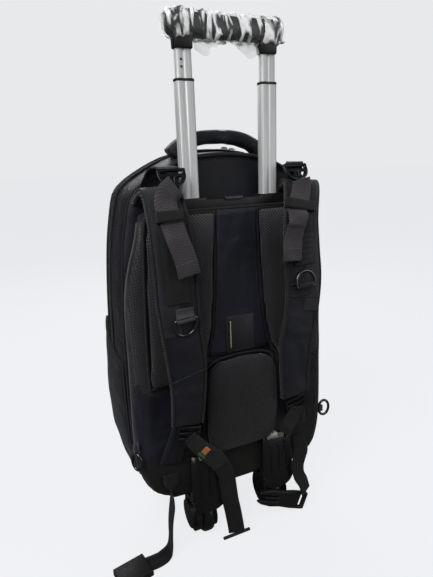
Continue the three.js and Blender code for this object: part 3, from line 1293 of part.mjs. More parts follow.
// Waist belt webbing. Left: turns edge on, drops and lies out along the ground. Right: drops in front of
// the wheel guard. down is a share of the root's height, out of BELT_OUT and front of BELT_WIDTH.
const BELT_TABLES = {
  left: [
    { down: 0, out: 0, front: 0 }, { down: 0.05, out: 0, front: 0.01 }, { down: 0.12, out: 0.04, front: 0.24 }, { down: 0.22, out: 0.09, front: 0.52 },
    { down: 0.36, out: 0.13, front: 0.48 }, { down: 0.5, out: 0.15, front: 0.28 }, { down: 0.7, out: 0.17, front: 0.14 },
    { down: 0.85, out: 0.19, front: 0.12 }, { down: 0.94, out: 0.26, front: 0.16 }, { down: 0.975, out: 0.4, front: 0.25 },
    { down: 0.982, out: 0.62, front: 0.38 }, { down: 0.965, out: 1, front: 0.5 },
  ],
  right: [
    { down: 0, out: 0, front: 0 }, { down: 0.04, out: 0, front: 0.01 }, { down: 0.08, out: 0, front: 0.24 }, { down: 0.14, out: -0.04, front: 0.52 },
    { down: 0.32, out: -0.2, front: 0.64 }, { down: 0.46, out: -0.16, front: 0.68 }, { down: 0.58, out: -0.02, front: 0.8 },
    { down: 0.705, out: 0.06, front: 0.88 },
  ],
};

function waistBelt(side) {
  const root = v(side * BELT_ROOT_X[LEFT_OR_RIGHT(side)], PANEL_Y - GAP - WEBBING / 2, BELT_ROOT_Z);
  const path = BELT_TABLES[LEFT_OR_RIGHT(side)].map(({ down, out, front }) => v(
    root.x + side * out * BELT_OUT, root.y - front * BELT_WIDTH, root.z * (1 - down)));
  if (side < 0) {
    const lie = turning(v(1, 0, 0), v(0.1, 1, 0), 0.02, 0.2);
    return sweep(stations(path, 26, lie), SQUARE, BELT_WIDTH, WEBBING);
  }
  return sweep(stations(path, 12, turning(v(1, 0, 0), v(1, 0.5, 0), 0.3, 0.9)), SQUARE, BELT_WIDTH, WEBBING);
}

addPair('waist_belt', waistBelt, 'webbing');

// Side-release buckle, open: the socket half lies on the ground at the left.
const BELT_END_LEFT = v(
  -BELT_ROOT_X.left - BELT_OUT, PANEL_Y - GAP - WEBBING / 2 - 0.5 * BELT_WIDTH, 0);

function buckleSocket() {
  const half = BUCKLE_WIDTH / 2;
  let body = solidOf(box(-BUCKLE_LENGTH, 0, -half, half, 0, BUCKLE_THICKNESS));
  const mouth = BUCKLE_THICKNESS - 2 * CLOTH;
  body = body.subtract(solidOf(box(
    -BUCKLE_LENGTH - 1, -BUCKLE_LENGTH * 0.35, -half + 1.5 * CLOTH, half - 1.5 * CLOTH, CLOTH, CLOTH + mouth)));
  for (const way of [-1, 1]) {
    body = body.subtract(solidOf(box(
      -BUCKLE_LENGTH * 0.78, -BUCKLE_LENGTH * 0.45, way * (half - 2 * CLOTH), way * (half + CLOTH), CLOTH,
      CLOTH + mouth)));
  }
  const geometry = geometryOf(body);
  geometry.rotateZ(BUCKLE_TURN);
  geometry.translate(BELT_END_LEFT.x - 4 * GAP, BELT_END_LEFT.y, GAP);
  return geometry;
}

addPiece('buckle_socket', buckleSocket(), 'plastic');

// The plug half leans on the right wheel, prongs up and to the left: shares of its length and half width.
const PLUG_OUTLINE = [
  { length: 0, width: 0.92 }, { length: 0.04, width: 1 }, { length: 0.3, width: 1 }, { length: 0.52, width: 0.88 },
  { length: 0.72, width: 0.94 }, { length: 0.92, width: 0.74 }, { length: 1, width: 0.5 }, { length: 0.94, width: 0.36 },
  { length: 0.58, width: 0.34 }, { length: 0.58, width: 0.14 }, { length: 0.86, width: 0.1 },
];

function bucklePlug() {
  const half = PLUG_WIDTH / 2;
  const top = PLUG_OUTLINE.map(({ length, width }) => new THREE.Vector2(-length * PLUG_LENGTH, width * half));
  const bottom = top.map((p) => new THREE.Vector2(p.x, -p.y)).reverse();
  const slot = new THREE.Shape([[0.06, -0.72], [0.06, 0.72], [0.14, 0.72], [0.14, -0.72]].map(
    ([length, width]) => new THREE.Vector2(-length * PLUG_LENGTH, width * half)));
  const thickness = BUCKLE_THICKNESS * 0.6;
  const plug = prism(new THREE.Shape([...top, ...bottom]), thickness).subtract(prism(slot, 2 * thickness));
  const geometry = geometryOf(plug);
  geometry.rotateY(PLUG_LEAN);
  geometry.rotateZ(-PLUG_LEAN / 4);
  geometry.translate(PLUG_X, -PLUG_FRONT, PLUG_Z);
  return geometry;
}

addPiece('buckle_plug', bucklePlug(), 'plastic');

// The origin is the middle of the whole assembly's footprint, on the ground.
bag.updateMatrixWorld(true);
const bounds = new THREE.Box3().setFromObject(bag);
const centre = bounds.getCenter(new THREE.Vector3());
bag.position.set(-centre.x, -centre.y, -bounds.min.z);

export default bag;
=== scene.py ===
# %% [markdown]
# A wheeled backpack, seen from the harness side: black nylon over foam, two padded shoulder straps,
# a two-stage pull handle in satin aluminium, and two wheels in moulded guards at the foot of the back.
# The measured frame gives every place and size. This file dresses it: each part of the bag is made as
# its own mesh, in the order in which it would be sewn and fitted.

# %% Load the measured frame
import bpy
import bmesh
import json
import math
import numpy as np
from mathutils import Matrix, Vector, noise


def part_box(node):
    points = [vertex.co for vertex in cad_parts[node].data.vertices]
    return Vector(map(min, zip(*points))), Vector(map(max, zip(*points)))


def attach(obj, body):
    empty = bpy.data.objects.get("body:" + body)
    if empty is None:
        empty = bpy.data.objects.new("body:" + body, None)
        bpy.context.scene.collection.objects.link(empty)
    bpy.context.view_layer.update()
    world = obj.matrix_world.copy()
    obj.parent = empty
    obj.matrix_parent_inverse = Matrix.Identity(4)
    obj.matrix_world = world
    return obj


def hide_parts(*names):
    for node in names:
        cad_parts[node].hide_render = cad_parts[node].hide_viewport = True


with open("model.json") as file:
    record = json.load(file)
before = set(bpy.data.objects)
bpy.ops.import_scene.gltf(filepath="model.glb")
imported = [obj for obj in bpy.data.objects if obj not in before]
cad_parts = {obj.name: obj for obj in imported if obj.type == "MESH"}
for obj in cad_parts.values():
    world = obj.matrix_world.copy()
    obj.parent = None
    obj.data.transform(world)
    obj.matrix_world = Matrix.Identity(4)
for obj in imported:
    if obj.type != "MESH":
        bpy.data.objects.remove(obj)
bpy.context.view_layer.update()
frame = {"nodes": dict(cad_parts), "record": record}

# %% [markdown]
# Every size below is in millimetres, counted from the face of the back panel and the bag's middle line.
# One function moves such a place into the frame in metres, so no piece has to be fitted by eye.

# %% Places in millimetres
MM = 0.001
BAG_REAR = 38
SIDES = ((-1, "left"), (1, "right"))
shell_low, shell_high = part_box("main_shell_rear")
ORIGIN = Vector(((shell_low.x + shell_high.x) / 2, shell_low.y - BAG_REAR * MM, 0))


def at(x, y, z):
    return Vector((x, y, z)) * MM + ORIGIN


print("origin of the millimetre places:", [round(c, 4) for c in ORIGIN])

# %% [markdown]
# The camera stands behind the bag, to its left and above it. Its place was found from pairs of points that
# lie alike on the left and the right of the bag, so the tubes, the straps and the wheels all fall in place.

# %% Camera
CAMERA_YAW, CAMERA_PITCH, CAMERA_ROLL = (math.radians(a) for a in (23.73, 15.18, -2.16))
camera = bpy.data.objects.new("camera", bpy.data.cameras.new("camera"))
bpy.context.scene.collection.objects.link(camera)
camera.data.sensor_fit = "VERTICAL"
camera.data.sensor_height = 36
camera.data.lens = 28.26
camera.data.clip_end = 50
forward = Vector((math.sin(CAMERA_YAW) * math.cos(CAMERA_PITCH),
                  math.cos(CAMERA_YAW) * math.cos(CAMERA_PITCH), -math.sin(CAMERA_PITCH)))
level = Vector((math.cos(CAMERA_YAW), -math.sin(CAMERA_YAW), 0))
upward = level.cross(forward)
right = level * math.cos(CAMERA_ROLL) + upward * math.sin(CAMERA_ROLL)
up = upward * math.cos(CAMERA_ROLL) - level * math.sin(CAMERA_ROLL)
turn = Matrix((right, up, -forward)).transposed()
camera.matrix_world = Matrix.Translation(at(-268.2, -531.9, 553.5)) @ turn.to_4x4()
bpy.context.scene.camera = camera
print("camera at", [round(c, 3) for c in camera.matrix_world.translation])

# %% [markdown]
# The bag was lit by a big soft light from above and the left and then put on a pale backdrop. Three area
# lights do the same. The backdrop and the floor look pale to the camera but light the bag only a little,
# because black cloth in a truly white room would look grey.

# %% Room and lights
def area_light(name, place, target, size, power):
    light = bpy.data.objects.new(name, bpy.data.lights.new(name, "AREA"))
    bpy.context.scene.collection.objects.link(light)
    light.data.shape = "RECTANGLE"
    light.data.size, light.data.size_y = size
    light.data.energy = power
    light.location = at(*place)
    light.rotation_euler = (at(*target) - light.location).to_track_quat("-Z", "Y").to_euler()
    return light


area_light("key", (-1100, -900, 1700), (0, 60, 350), (1.4, 1.0), 30)
area_light("fill", (1500, -1300, 900), (0, 60, 300), (1.6, 1.6), 12)
area_light("rim", (300, 1500, 1500), (0, 60, 500), (1.4, 1.0), 14)


def seen_or_lit(tree, seen, lit, target):
    """What the camera sees of the backdrop, and what the rest of the scene gets from it."""
    path = tree.nodes.new("ShaderNodeLightPath")
    choice = tree.nodes.new("ShaderNodeMixShader")
    tree.links.new(path.outputs["Is Camera Ray"], choice.inputs[0])
    tree.links.new(lit.outputs[0], choice.inputs[1])
    tree.links.new(seen.outputs[0], choice.inputs[2])
    tree.links.new(choice.outputs[0], target)


world = bpy.data.worlds.new("pale backdrop")
world.use_nodes = True
tree = world.node_tree
backdrop = tree.nodes["Background"]
backdrop.inputs["Color"].default_value = (0.805, 0.815, 0.83, 1)
ambient = tree.nodes.new("ShaderNodeBackground")
ambient.inputs["Color"].default_value = (0.9, 0.94, 1, 1)
ambient.inputs["Strength"].default_value = 0.13
seen_or_lit(tree, backdrop, ambient, tree.nodes["World Output"].inputs["Surface"])
bpy.context.scene.world = world
bpy.context.scene.view_settings.view_transform = "Standard"

bpy.ops.mesh.primitive_plane_add(size=60, location=(0, 20, 0))
floor = bpy.context.object
floor.name = "studio_floor"
floor_finish = bpy.data.materials.new("pale floor")
floor_finish.use_nodes = True
tree = floor_finish.node_tree
matt = tree.nodes["Principled BSDF"]
matt.inputs["Base Color"].default_value = (0.11, 0.11, 0.113, 1)
matt.inputs["Roughness"].default_value = 0.9
matt.inputs["Specular IOR Level"].default_value = 0.0
glow = tree.nodes.new("ShaderNodeEmission")
glow.inputs["Color"].default_value = (0.8, 0.815, 0.835, 1)
glow.inputs["Strength"].default_value = 0.975
both = tree.nodes.new("ShaderNodeAddShader")
tree.links.new(matt.outputs[0], both.inputs[0])
tree.links.new(glow.outputs[0], both.inputs[1])
seen_or_lit(tree, both, matt, tree.nodes["Material Output"].inputs["Surface"])
floor.data.materials.append(floor_finish)

# %% [markdown]
# Several finishes share an effect, so each effect is built once as a shader node group: the threads of a
# woven cloth, the open cells of a spacer mesh, the ribs of a webbing, and the slow unevenness that any
# used surface has. A small helper lays out the maths nodes, because a pattern is easier to read as a sum.

# %% Helper for node trees
class Tree:
    """Adds nodes to a shader tree and links them as they are named."""

    def __init__(self, tree):
        self.tree = tree

    def node(self, kind, **values):
        made = self.tree.nodes.new(kind)
        for name, value in values.items():
            setattr(made, name, value)
        return made

    def link(self, source, target):
        self.tree.links.new(source, target)

    def math(self, operation, *values):
        made = self.node("ShaderNodeMath", operation=operation)
        for i, value in enumerate(values):
            if isinstance(value, (int, float)):
                made.inputs[i].default_value = value
            else:
                self.link(value, made.inputs[i])
        return made.outputs[0]

    def spread(self, value, low, high, start=0.0, end=1.0):
        made = self.node("ShaderNodeMapRange", interpolation_type="SMOOTHSTEP")
        self.link(value, made.inputs["Value"])
        for name, number in zip(("From Min", "From Max", "To Min", "To Max"), (low, high, start, end)):
            made.inputs[name].default_value = number
        return made.outputs["Result"]

    def mix(self, factor, first, second):
        made = self.node("ShaderNodeMix", data_type="RGBA")
        for socket, value in ((made.inputs[0], factor), (made.inputs[6], first), (made.inputs[7], second)):
            if isinstance(value, (int, float)):
                socket.default_value = value
            elif isinstance(value, tuple):
                socket.default_value = (*value, 1)
            else:
                self.link(value, socket)
        return made.outputs[2]


def new_group(name, inputs, outputs):
    """An empty shader group with named inputs (name, socket, default) and outputs (name, socket)."""
    group = bpy.data.node_groups.new(name, "ShaderNodeTree")
    for label, kind, default in inputs:
        socket = group.interface.new_socket(label, in_out="INPUT", socket_type=kind)
        if default is not None:
            socket.default_value = default
    for label, kind in outputs:
        group.interface.new_socket(label, in_out="OUTPUT", socket_type=kind)
    tree = Tree(group)
    return group, tree, tree.node("NodeGroupInput"), tree.node("NodeGroupOutput")


# %% [markdown]
# Woven cloth is two sets of threads that cross. Two sine waves multiplied give their bumps, and their sum
# gives the light and dark of warp and weft. It could be an image, but a formula stays sharp at any distance.

# %% Shared effect: woven threads
weave_group, t, given, result = new_group(
    "Woven threads", [("Vector", "NodeSocketVector", None), ("Pitch", "NodeSocketFloat", 0.0012)],
    [("Height", "NodeSocketFloat"), ("Shade", "NodeSocketFloat")])
parts = t.node("ShaderNodeSeparateXYZ")
t.link(given.outputs["Vector"], parts.inputs[0])
turns = t.math("DIVIDE", 6.2832, given.outputs["Pitch"])
across = t.math("SINE", t.math("MULTIPLY", t.math("ADD", parts.outputs[0], parts.outputs[1]), turns))
down = t.math("SINE", t.math("MULTIPLY", parts.outputs[2], turns))
t.link(t.spread(t.math("MULTIPLY", across, down), -1, 1), result.inputs["Height"])
t.link(t.spread(t.math("ADD", across, down), -2, 2, 0.85, 1.1), result.inputs["Shade"])
print("group:", weave_group.name)

# %% [markdown]
# Spacer mesh has rows of open cells, each row shifted by half a cell. Two cosine waves multiplied do that:
# where the product is high there is a hole, and elsewhere there is yarn.

# %% Shared effect: open cells of a spacer mesh
cell_group, t, given, result = new_group(
    "Mesh cells", [("Vector", "NodeSocketVector", None), ("Width", "NodeSocketFloat", 0.0042),
                   ("Height", "NodeSocketFloat", 0.0034)],
    [("Hole", "NodeSocketFloat"), ("Height", "NodeSocketFloat")])
parts = t.node("ShaderNodeSeparateXYZ")
t.link(given.outputs["Vector"], parts.inputs[0])
turns_x = t.math("DIVIDE", 6.2832, given.outputs["Width"])
turns_z = t.math("DIVIDE", 6.2832, given.outputs["Height"])
wave_x = t.math("COSINE", t.math("MULTIPLY", parts.outputs[0], turns_x))
wave_z = t.math("COSINE", t.math("MULTIPLY", parts.outputs[2], turns_z))
cells = t.math("MULTIPLY", wave_x, wave_z)
t.link(t.spread(cells, 0.05, 0.5), result.inputs["Hole"])
t.link(t.spread(cells, -0.3, 0.6, 1.0, 0.0), result.inputs["Height"])
print("group:", cell_group.name)

# %% [markdown]
# Webbing has ribs across it that zigzag where the weave turns. The band's own map gives the place across and
# along it, so the ribs follow every bend of the band.

# %% Shared effect: ribs of a webbing
rib_group, t, given, result = new_group(
    "Webbing ribs", [("Vector", "NodeSocketVector", None), ("Pitch", "NodeSocketFloat", 0.0022),
                     ("Slant", "NodeSocketFloat", 0.6)],
    [("Height", "NodeSocketFloat"), ("Shade", "NodeSocketFloat")])
parts = t.node("ShaderNodeSeparateXYZ")
t.link(given.outputs["Vector"], parts.inputs[0])
zigzag = t.math("PINGPONG", parts.outputs[0], 0.0065)
along = t.math("ADD", parts.outputs[1], t.math("MULTIPLY", zigzag, given.outputs["Slant"]))
rib = t.math("SINE", t.math("MULTIPLY", along, t.math("DIVIDE", 6.2832, given.outputs["Pitch"])))
t.link(t.spread(rib, -1, 1), result.inputs["Height"])
t.link(t.spread(rib, -1, 1, 0.84, 1.16), result.inputs["Shade"])
print("group:", rib_group.name)

# %% [markdown]
# No used surface is even. A slow noise makes it a little lighter and darker, and a very fine one stands for
# lint and grain. Every finish below takes both from this one group.

# %% Shared effect: slow unevenness and lint
wear_group, t, given, result = new_group(
    "Unevenness", [("Vector", "NodeSocketVector", None), ("Scale", "NodeSocketFloat", 18.0),
                   ("Low", "NodeSocketFloat", 0.8), ("High", "NodeSocketFloat", 1.2)],
    [("Shade", "NodeSocketFloat"), ("Fine", "NodeSocketFloat")])
slow = t.node("ShaderNodeTexNoise")
slow.inputs["Detail"].default_value = 3
t.link(given.outputs["Vector"], slow.inputs["Vector"])
t.link(given.outputs["Scale"], slow.inputs["Scale"])
fine = t.node("ShaderNodeTexNoise")
fine.inputs["Detail"].default_value = 5
fine.inputs["Scale"].default_value = 420
t.link(given.outputs["Vector"], fine.inputs["Vector"])
ranged = t.node("ShaderNodeMapRange")
t.link(slow.outputs["Fac"], ranged.inputs["Value"])
ranged.inputs["From Min"].default_value = 0.3
ranged.inputs["From Max"].default_value = 0.7
t.link(given.outputs["Low"], ranged.inputs["To Min"])
t.link(given.outputs["High"], ranged.inputs["To Max"])
t.link(ranged.outputs["Result"], result.inputs["Shade"])
t.link(fine.outputs["Fac"], result.inputs["Fine"])
print("group:", wear_group.name)

# %% [markdown]
# Each finish starts from the same recipe: a base colour that the shared groups lighten and darken, a bump
# from their heights, and plain numbers for gloss and sheen. Black cloth is never quite black: a weak blue
# tint and a soft sheen at the edges tell nylon from the browner polyester of the webbing.

# %% Recipe for a finish
def new_finish(name, color, roughness, **plain):
    """A material with one Principled shader. plain gives its other sockets' constant values."""
    finish = bpy.data.materials.new(name)
    finish.use_nodes = True
    shader = finish.node_tree.nodes["Principled BSDF"]
    shader.inputs["Base Color"].default_value = (*color, 1)
    shader.inputs["Roughness"].default_value = roughness
    for socket, value in plain.items():
        shader.inputs[socket.replace("_", " ")].default_value = value
    return finish, Tree(finish.node_tree), shader


def placed(t, group, vector, **values):
    """The group as a node in this tree, fed with the vector and its own values."""
    made = t.node("ShaderNodeGroup", node_tree=group)
    t.link(vector, made.inputs["Vector"])
    for name, value in values.items():
        made.inputs[name].default_value = value
    return made


def tinted(t, shader, color, *shades):
    """Base colour times each of the shades, which vary over the surface."""
    shade = shades[0]
    for other in shades[1:]:
        shade = t.math("MULTIPLY", shade, other)
    dark = tuple(c * 0.4 for c in color)
    bright = tuple(min(1, c * 1.6) for c in color)
    t.link(t.mix(t.spread(shade, 0.4, 1.6), dark, bright), shader.inputs["Base Color"])


def bumped(t, shader, height, distance, strength=1.0, folds=0.0):
    """A bump from the height, and under it slow folds some millimetres deep if asked."""
    bump = t.node("ShaderNodeBump")
    if folds:
        slow = t.node("ShaderNodeTexNoise")
        slow.inputs["Scale"].default_value = 15
        slow.inputs["Detail"].default_value = 1.5
        slow.inputs["Distortion"].default_value = 0.8
        t.link(t.node("ShaderNodeTexCoord").outputs["Object"], slow.inputs["Vector"])
        swell = t.node("ShaderNodeBump")
        swell.inputs["Distance"].default_value = folds
        t.link(slow.outputs["Fac"], swell.inputs["Height"])
        t.link(swell.outputs["Normal"], bump.inputs["Normal"])
    bump.inputs["Distance"].default_value = distance
    bump.inputs["Strength"].default_value = strength
    t.link(height, bump.inputs["Height"])
    t.link(bump.outputs["Normal"], shader.inputs["Normal"])


# %% Cloth finishes
def cloth_finish(name, color, roughness, pitch, sheen, low=0.75, high=1.25, folds=0.0):
    finish, t, shader = new_finish(name, color, roughness, Sheen_Weight=sheen, Sheen_Roughness=0.45,
                                   Specular_IOR_Level=0.35)
    place = t.node("ShaderNodeTexCoord").outputs["Object"]
    weave = placed(t, weave_group, place, Pitch=pitch)
    uneven = placed(t, wear_group, place, Scale=14, Low=low, High=high)
    tinted(t, shader, color, weave.outputs["Shade"], uneven.outputs["Shade"])
    t.link(t.spread(uneven.outputs["Fine"], 0.3, 0.7, roughness - 0.08, roughness + 0.1),
           shader.inputs["Roughness"])
    bumped(t, shader, t.math("ADD", weave.outputs["Height"], uneven.outputs["Fine"]), 0.00018, folds=folds)
    return finish


NAVY = (0.0044, 0.0049, 0.0105)
nylon = cloth_finish("black nylon", NAVY, 0.5, 0.0011, 0.1, folds=0.012)
side_nylon = cloth_finish("black nylon of the body", (0.003, 0.0034, 0.008), 0.48, 0.0013, 0.06, folds=0.008)
channel_nylon = cloth_finish("smooth nylon of the channel", (0.0036, 0.0042, 0.0115), 0.4, 0.0009, 0.06,
                             folds=0.01)
facing_nylon = cloth_finish("smooth nylon of the straps", (0.0095, 0.0102, 0.015), 0.45, 0.0009, 0.2,
                            folds=0.008)
kick_cloth = cloth_finish("coated cloth of the kick panel", (0.0085, 0.0078, 0.0065), 0.6, 0.0016, 0.05)
binding_tape = cloth_finish("binding tape", (0.0085, 0.0075, 0.008), 0.7, 0.0016, 0.15)
# The edge piping's pale colour is a painted highlight along the piping.
piping_painted_highlight = cloth_finish("edge piping with painted highlight", (0.085, 0.086, 0.095), 0.6, 0.001, 0.2)
zip_tape = cloth_finish("zip tape", (0.006, 0.006, 0.0065), 0.68, 0.0012, 0.1)
thread_finish = cloth_finish("sewing thread", (0.019, 0.019, 0.022), 0.6, 0.0006, 0.15)


# %% [markdown]
# The bag has four webbings: ribbed tails, one sewn in rungs, a smooth one, and the thin one of the hanging ends.
# They are one recipe with another pitch and slant of the ribs.

# %% Webbing finishes, laid along each band by its own map
def webbing_finish(name, color, pitch=0.0022, slant=0.6, low=0.8, high=1.2, sheen=0.1):
    finish, t, shader = new_finish(name, color, 0.72, Sheen_Weight=sheen, Sheen_Roughness=0.5,
                                   Specular_IOR_Level=0.3)
    place = t.node("ShaderNodeUVMap", uv_map="Band").outputs["UV"]
    ribs = placed(t, rib_group, place, Pitch=pitch, Slant=slant)
    where = t.node("ShaderNodeTexCoord").outputs["Object"]
    uneven = placed(t, wear_group, where, Scale=40, Low=low, High=high)
    tinted(t, shader, color, ribs.outputs["Shade"], uneven.outputs["Shade"])
    bumped(t, shader, t.math("ADD", ribs.outputs["Height"], uneven.outputs["Fine"]), 0.0003)
    return finish


webbing = webbing_finish("ribbed webbing", (0.045, 0.04, 0.046), 0.0034, 0.6, 0.8, 1.2)
ladder_webbing = webbing_finish("webbing sewn in rungs", (0.0115, 0.0095, 0.0115), 0.0075, 0.0)
smooth_webbing = webbing_finish("label webbing", (0.0065, 0.0062, 0.007), 0.0016, 0.0)
hanging_webbing = webbing_finish("hanging webbing", (0.0052, 0.0052, 0.006), 0.0018, 0.3, sheen=0.05)

# %% [markdown]
# The spacer mesh of the back and the lumbar pad is a knit with open cells. Real holes would need millions of
#  faces, so the cells are drawn by the shared group: painted shade where a cell is open, and raised where the yarn
#  runs.

# %% Mesh finish
def mesh_finish(name, yarn, cell_shade, width, height, lit_heights):
    """The last argument is the height range, in metres, over which the yarn is painted brighter upward: painted light
    on the upper part of the pads.
    """
    finish, t, shader = new_finish(name, yarn, 0.75, Sheen_Weight=0.25, Sheen_Roughness=0.4,
                                   Specular_IOR_Level=0.3)
    place = t.node("ShaderNodeTexCoord").outputs["Object"]
    cell = placed(t, cell_group, place, Width=width, Height=height)
    uneven = placed(t, wear_group, place, Scale=22, Low=0.75, High=1.3)
    bright = tuple(c * 1.5 for c in yarn)
    knit = t.mix(t.spread(uneven.outputs["Shade"], 0.7, 1.3), yarn, bright)
    parts = t.node("ShaderNodeSeparateXYZ")
    t.link(place, parts.inputs[0])
    painted_top_light = t.spread(parts.outputs[2], *lit_heights)
    # Painted light: the yarn is painted up to three times brighter towards the top of the given heights, where the
    # light falls.
    knit = t.mix(painted_top_light, knit, tuple(c * 3.0 for c in yarn))
    # Painted shade: the open cells get a dark colour that stands for the shade inside them.
    t.link(t.mix(cell.outputs["Hole"], knit, cell_shade), shader.inputs["Base Color"])
    bumped(t, shader, cell.outputs["Height"], 0.0007)
    return finish


back_mesh = mesh_finish("spacer mesh", (0.017, 0.0165, 0.019), (0.0012, 0.0012, 0.0015), 0.0048, 0.0038,
                        (0.44, 0.5))
lumbar_mesh = mesh_finish("fine spacer mesh", (0.0062, 0.0059, 0.0072), (0.0012, 0.0012, 0.0016), 0.0036, 0.003,
                          (0.235, 0.3))
print("cloth finishes ready")


# %% [markdown]
# Moulded plastic, rubber and small metal parts need no pattern, only a colour, a gloss and a fine grain. The
# difference between buckle and guard is mostly gloss, so that is the value to play with.

# %% Hard finishes
def hard_finish(name, color, roughness, bump=0.00005, low=0.85, high=1.15, spread=0.08, **plain):
    finish, t, shader = new_finish(name, color, roughness, **plain)
    place = t.node("ShaderNodeTexCoord").outputs["Object"]
    uneven = placed(t, wear_group, place, Scale=30, Low=low, High=high)
    tinted(t, shader, color, uneven.outputs["Shade"])
    t.link(t.spread(uneven.outputs["Fine"], 0.3, 0.7, max(0.03, roughness - spread), roughness + spread),
           shader.inputs["Roughness"])
    bumped(t, shader, uneven.outputs["Fine"], bump)
    return finish


moulded = hard_finish("moulded plastic", (0.0055, 0.0056, 0.0064), 0.52)
gloss_moulded = hard_finish("polished plastic", (0.0055, 0.0056, 0.0065), 0.18, 0.00002)
guard_plastic = hard_finish("grained guard plastic", (0.0068, 0.0068, 0.0072), 0.3, 0.00008)
tyre_rubber = hard_finish("tyre rubber", (0.006, 0.0065, 0.0072), 0.27, 0.00005)
grip_rubber = hard_finish("grip rubber", (0.009, 0.0095, 0.011), 0.36, 0.00005)
ring_metal = hard_finish("polished black nickel", (0.09, 0.09, 0.095), 0.2, 0.00002, Metallic=0.9)
pale_tab_finish = hard_finish("pale tab", (0.36, 0.34, 0.29), 0.55, 0.0002)
patch_finish = hard_finish("bare patch", (0.0068, 0.0068, 0.0085), 0.6, 0.0002)
stripe_finish = hard_finish("plain stripe", (0.42, 0.36, 0.24), 0.6, 0.0001)
orange_finish = hard_finish("orange block", (0.42, 0.16, 0.05), 0.7, 0.0002)
green_finish = hard_finish("green edge", (0.03, 0.12, 0.035), 0.7, 0.0002)
zip_metal = hard_finish("zip pull metal", (0.3, 0.31, 0.32), 0.3, 0.00003, Metallic=0.85)
print("hard finishes ready")

# %% [markdown]
# The tubes are drawn aluminium: satin, with very fine lines along their length. A noise that is stretched
# along the tube gives the lines to both the gloss and the bump.

# %% Aluminium
aluminium, t, shader = new_finish("drawn aluminium", (0.5, 0.51, 0.52), 0.45, Metallic=0.25)
stretch = t.node("ShaderNodeMapping")
stretch.inputs["Scale"].default_value = (900, 900, 6)
t.link(t.node("ShaderNodeTexCoord").outputs["Object"], stretch.inputs["Vector"])
drawn = t.node("ShaderNodeTexNoise")
drawn.inputs["Scale"].default_value = 1
t.link(stretch.outputs["Vector"], drawn.inputs["Vector"])
t.link(t.spread(drawn.outputs["Fac"], 0.3, 0.7, 0.4, 0.52), shader.inputs["Roughness"])
t.link(t.mix(t.spread(drawn.outputs["Fac"], 0.25, 0.75), (0.5, 0.505, 0.505), (0.58, 0.587, 0.587)),
       shader.inputs["Base Color"])
bumped(t, shader, drawn.outputs["Fac"], 0.00003)

# %% [markdown]
# The clear film round the grip is thin and crumpled. It shows by its creases: almost clear between them, and
#  painted opaque white along them as painted highlights. So its alpha follows a ridged noise, and the same ridges
#  bend its normals.

# %% Crumpled film
film, t, shader = new_finish("crumpled clear film", (0.97, 0.98, 0.98), 0.12, Specular_IOR_Level=0.9)
place = t.node("ShaderNodeTexCoord").outputs["Object"]
slant = t.node("ShaderNodeMapping")
slant.inputs["Rotation"].default_value = (0, 0.7, 0)
slant.inputs["Scale"].default_value = (95, 60, 24)
t.link(place, slant.inputs["Vector"])
painted_highlight_streaks = t.node("ShaderNodeTexNoise")
painted_highlight_streaks.inputs["Scale"].default_value = 1
painted_highlight_streaks.inputs["Detail"].default_value = 2.5
painted_highlight_streaks.inputs["Distortion"].default_value = 0.7
t.link(slant.outputs["Vector"], painted_highlight_streaks.inputs["Vector"])
# Painted highlight: where the noise is high, the film turns opaque white.
t.link(t.spread(painted_highlight_streaks.outputs["Fac"], 0.47, 0.6, 0.05, 1.0), shader.inputs["Alpha"])
bumped(t, shader, painted_highlight_streaks.outputs["Fac"], 0.006)
haze, t, shader = new_finish("hanging skirt of the film", (0.72, 0.73, 0.72), 0.2, Specular_IOR_Level=0.8)
place = t.node("ShaderNodeTexCoord").outputs["Object"]
cloud = t.node("ShaderNodeTexNoise")
cloud.inputs["Scale"].default_value = 60
cloud.inputs["Detail"].default_value = 3
t.link(place, cloud.inputs["Vector"])
t.link(t.spread(cloud.outputs["Fac"], 0.35, 0.7, 0.4, 0.85), shader.inputs["Alpha"])
bumped(t, shader, cloud.outputs["Fac"], 0.004)
print("finishes:", len(bpy.data.materials))

# %% [markdown]
# A bag is mostly lofts and bands. A loft is a stack of rings of points; a band is a flat or round section
# that runs along a smooth line. Both are plain meshes of quads, so one small set of functions makes them
# all: a spline through a few rows, a skin over rings, and a section that travels.

# %% Smooth rows
def smooth_rows(rows, count, joined=False):
    """count rows evenly spaced along a smooth curve through rows, whose first three numbers are a place."""
    rows = np.array(rows, float)
    n = len(rows)
    spans = n if joined else n - 1
    dense = []
    for i in range(spans):
        p = [rows[(i + k) % n] if joined else rows[min(max(i + k, 0), n - 1)] for k in (-1, 0, 1, 2)]
        for u in np.arange(0, 1, 1 / 24):
            dense.append(0.5 * (2 * p[1] + (p[2] - p[0]) * u + (2 * p[0] - 5 * p[1] + 4 * p[2] - p[3]) * u ** 2
                                + (3 * p[1] - p[0] - 3 * p[2] + p[3]) * u ** 3))
    dense.append(rows[0] if joined else rows[-1])
    dense = np.array(dense)
    length = np.concatenate([[0], np.cumsum(np.linalg.norm(np.diff(dense[:, :3], axis=0), axis=1))])
    wanted = np.linspace(0, length[-1], count, endpoint=not joined)
    return np.stack([np.interp(wanted, length, dense[:, k]) for k in range(rows.shape[1])], 1)


def table_value(rows, share):
    """A value read from rows of (share, value), in straight lines between them."""
    shares, values = zip(*rows)
    k = int(np.clip(np.searchsorted(shares, share) - 1, 0, len(rows) - 2))
    t = (share - shares[k]) / (shares[k + 1] - shares[k])
    return values[k] + (values[k + 1] - values[k]) * min(max(t, 0), 1)


# %% [markdown]
# Each piece becomes a mesh straight from its points. This could be done with curves and modifiers, but plain
# points leave no doubt about what each face is, and the piece exports as it stands.

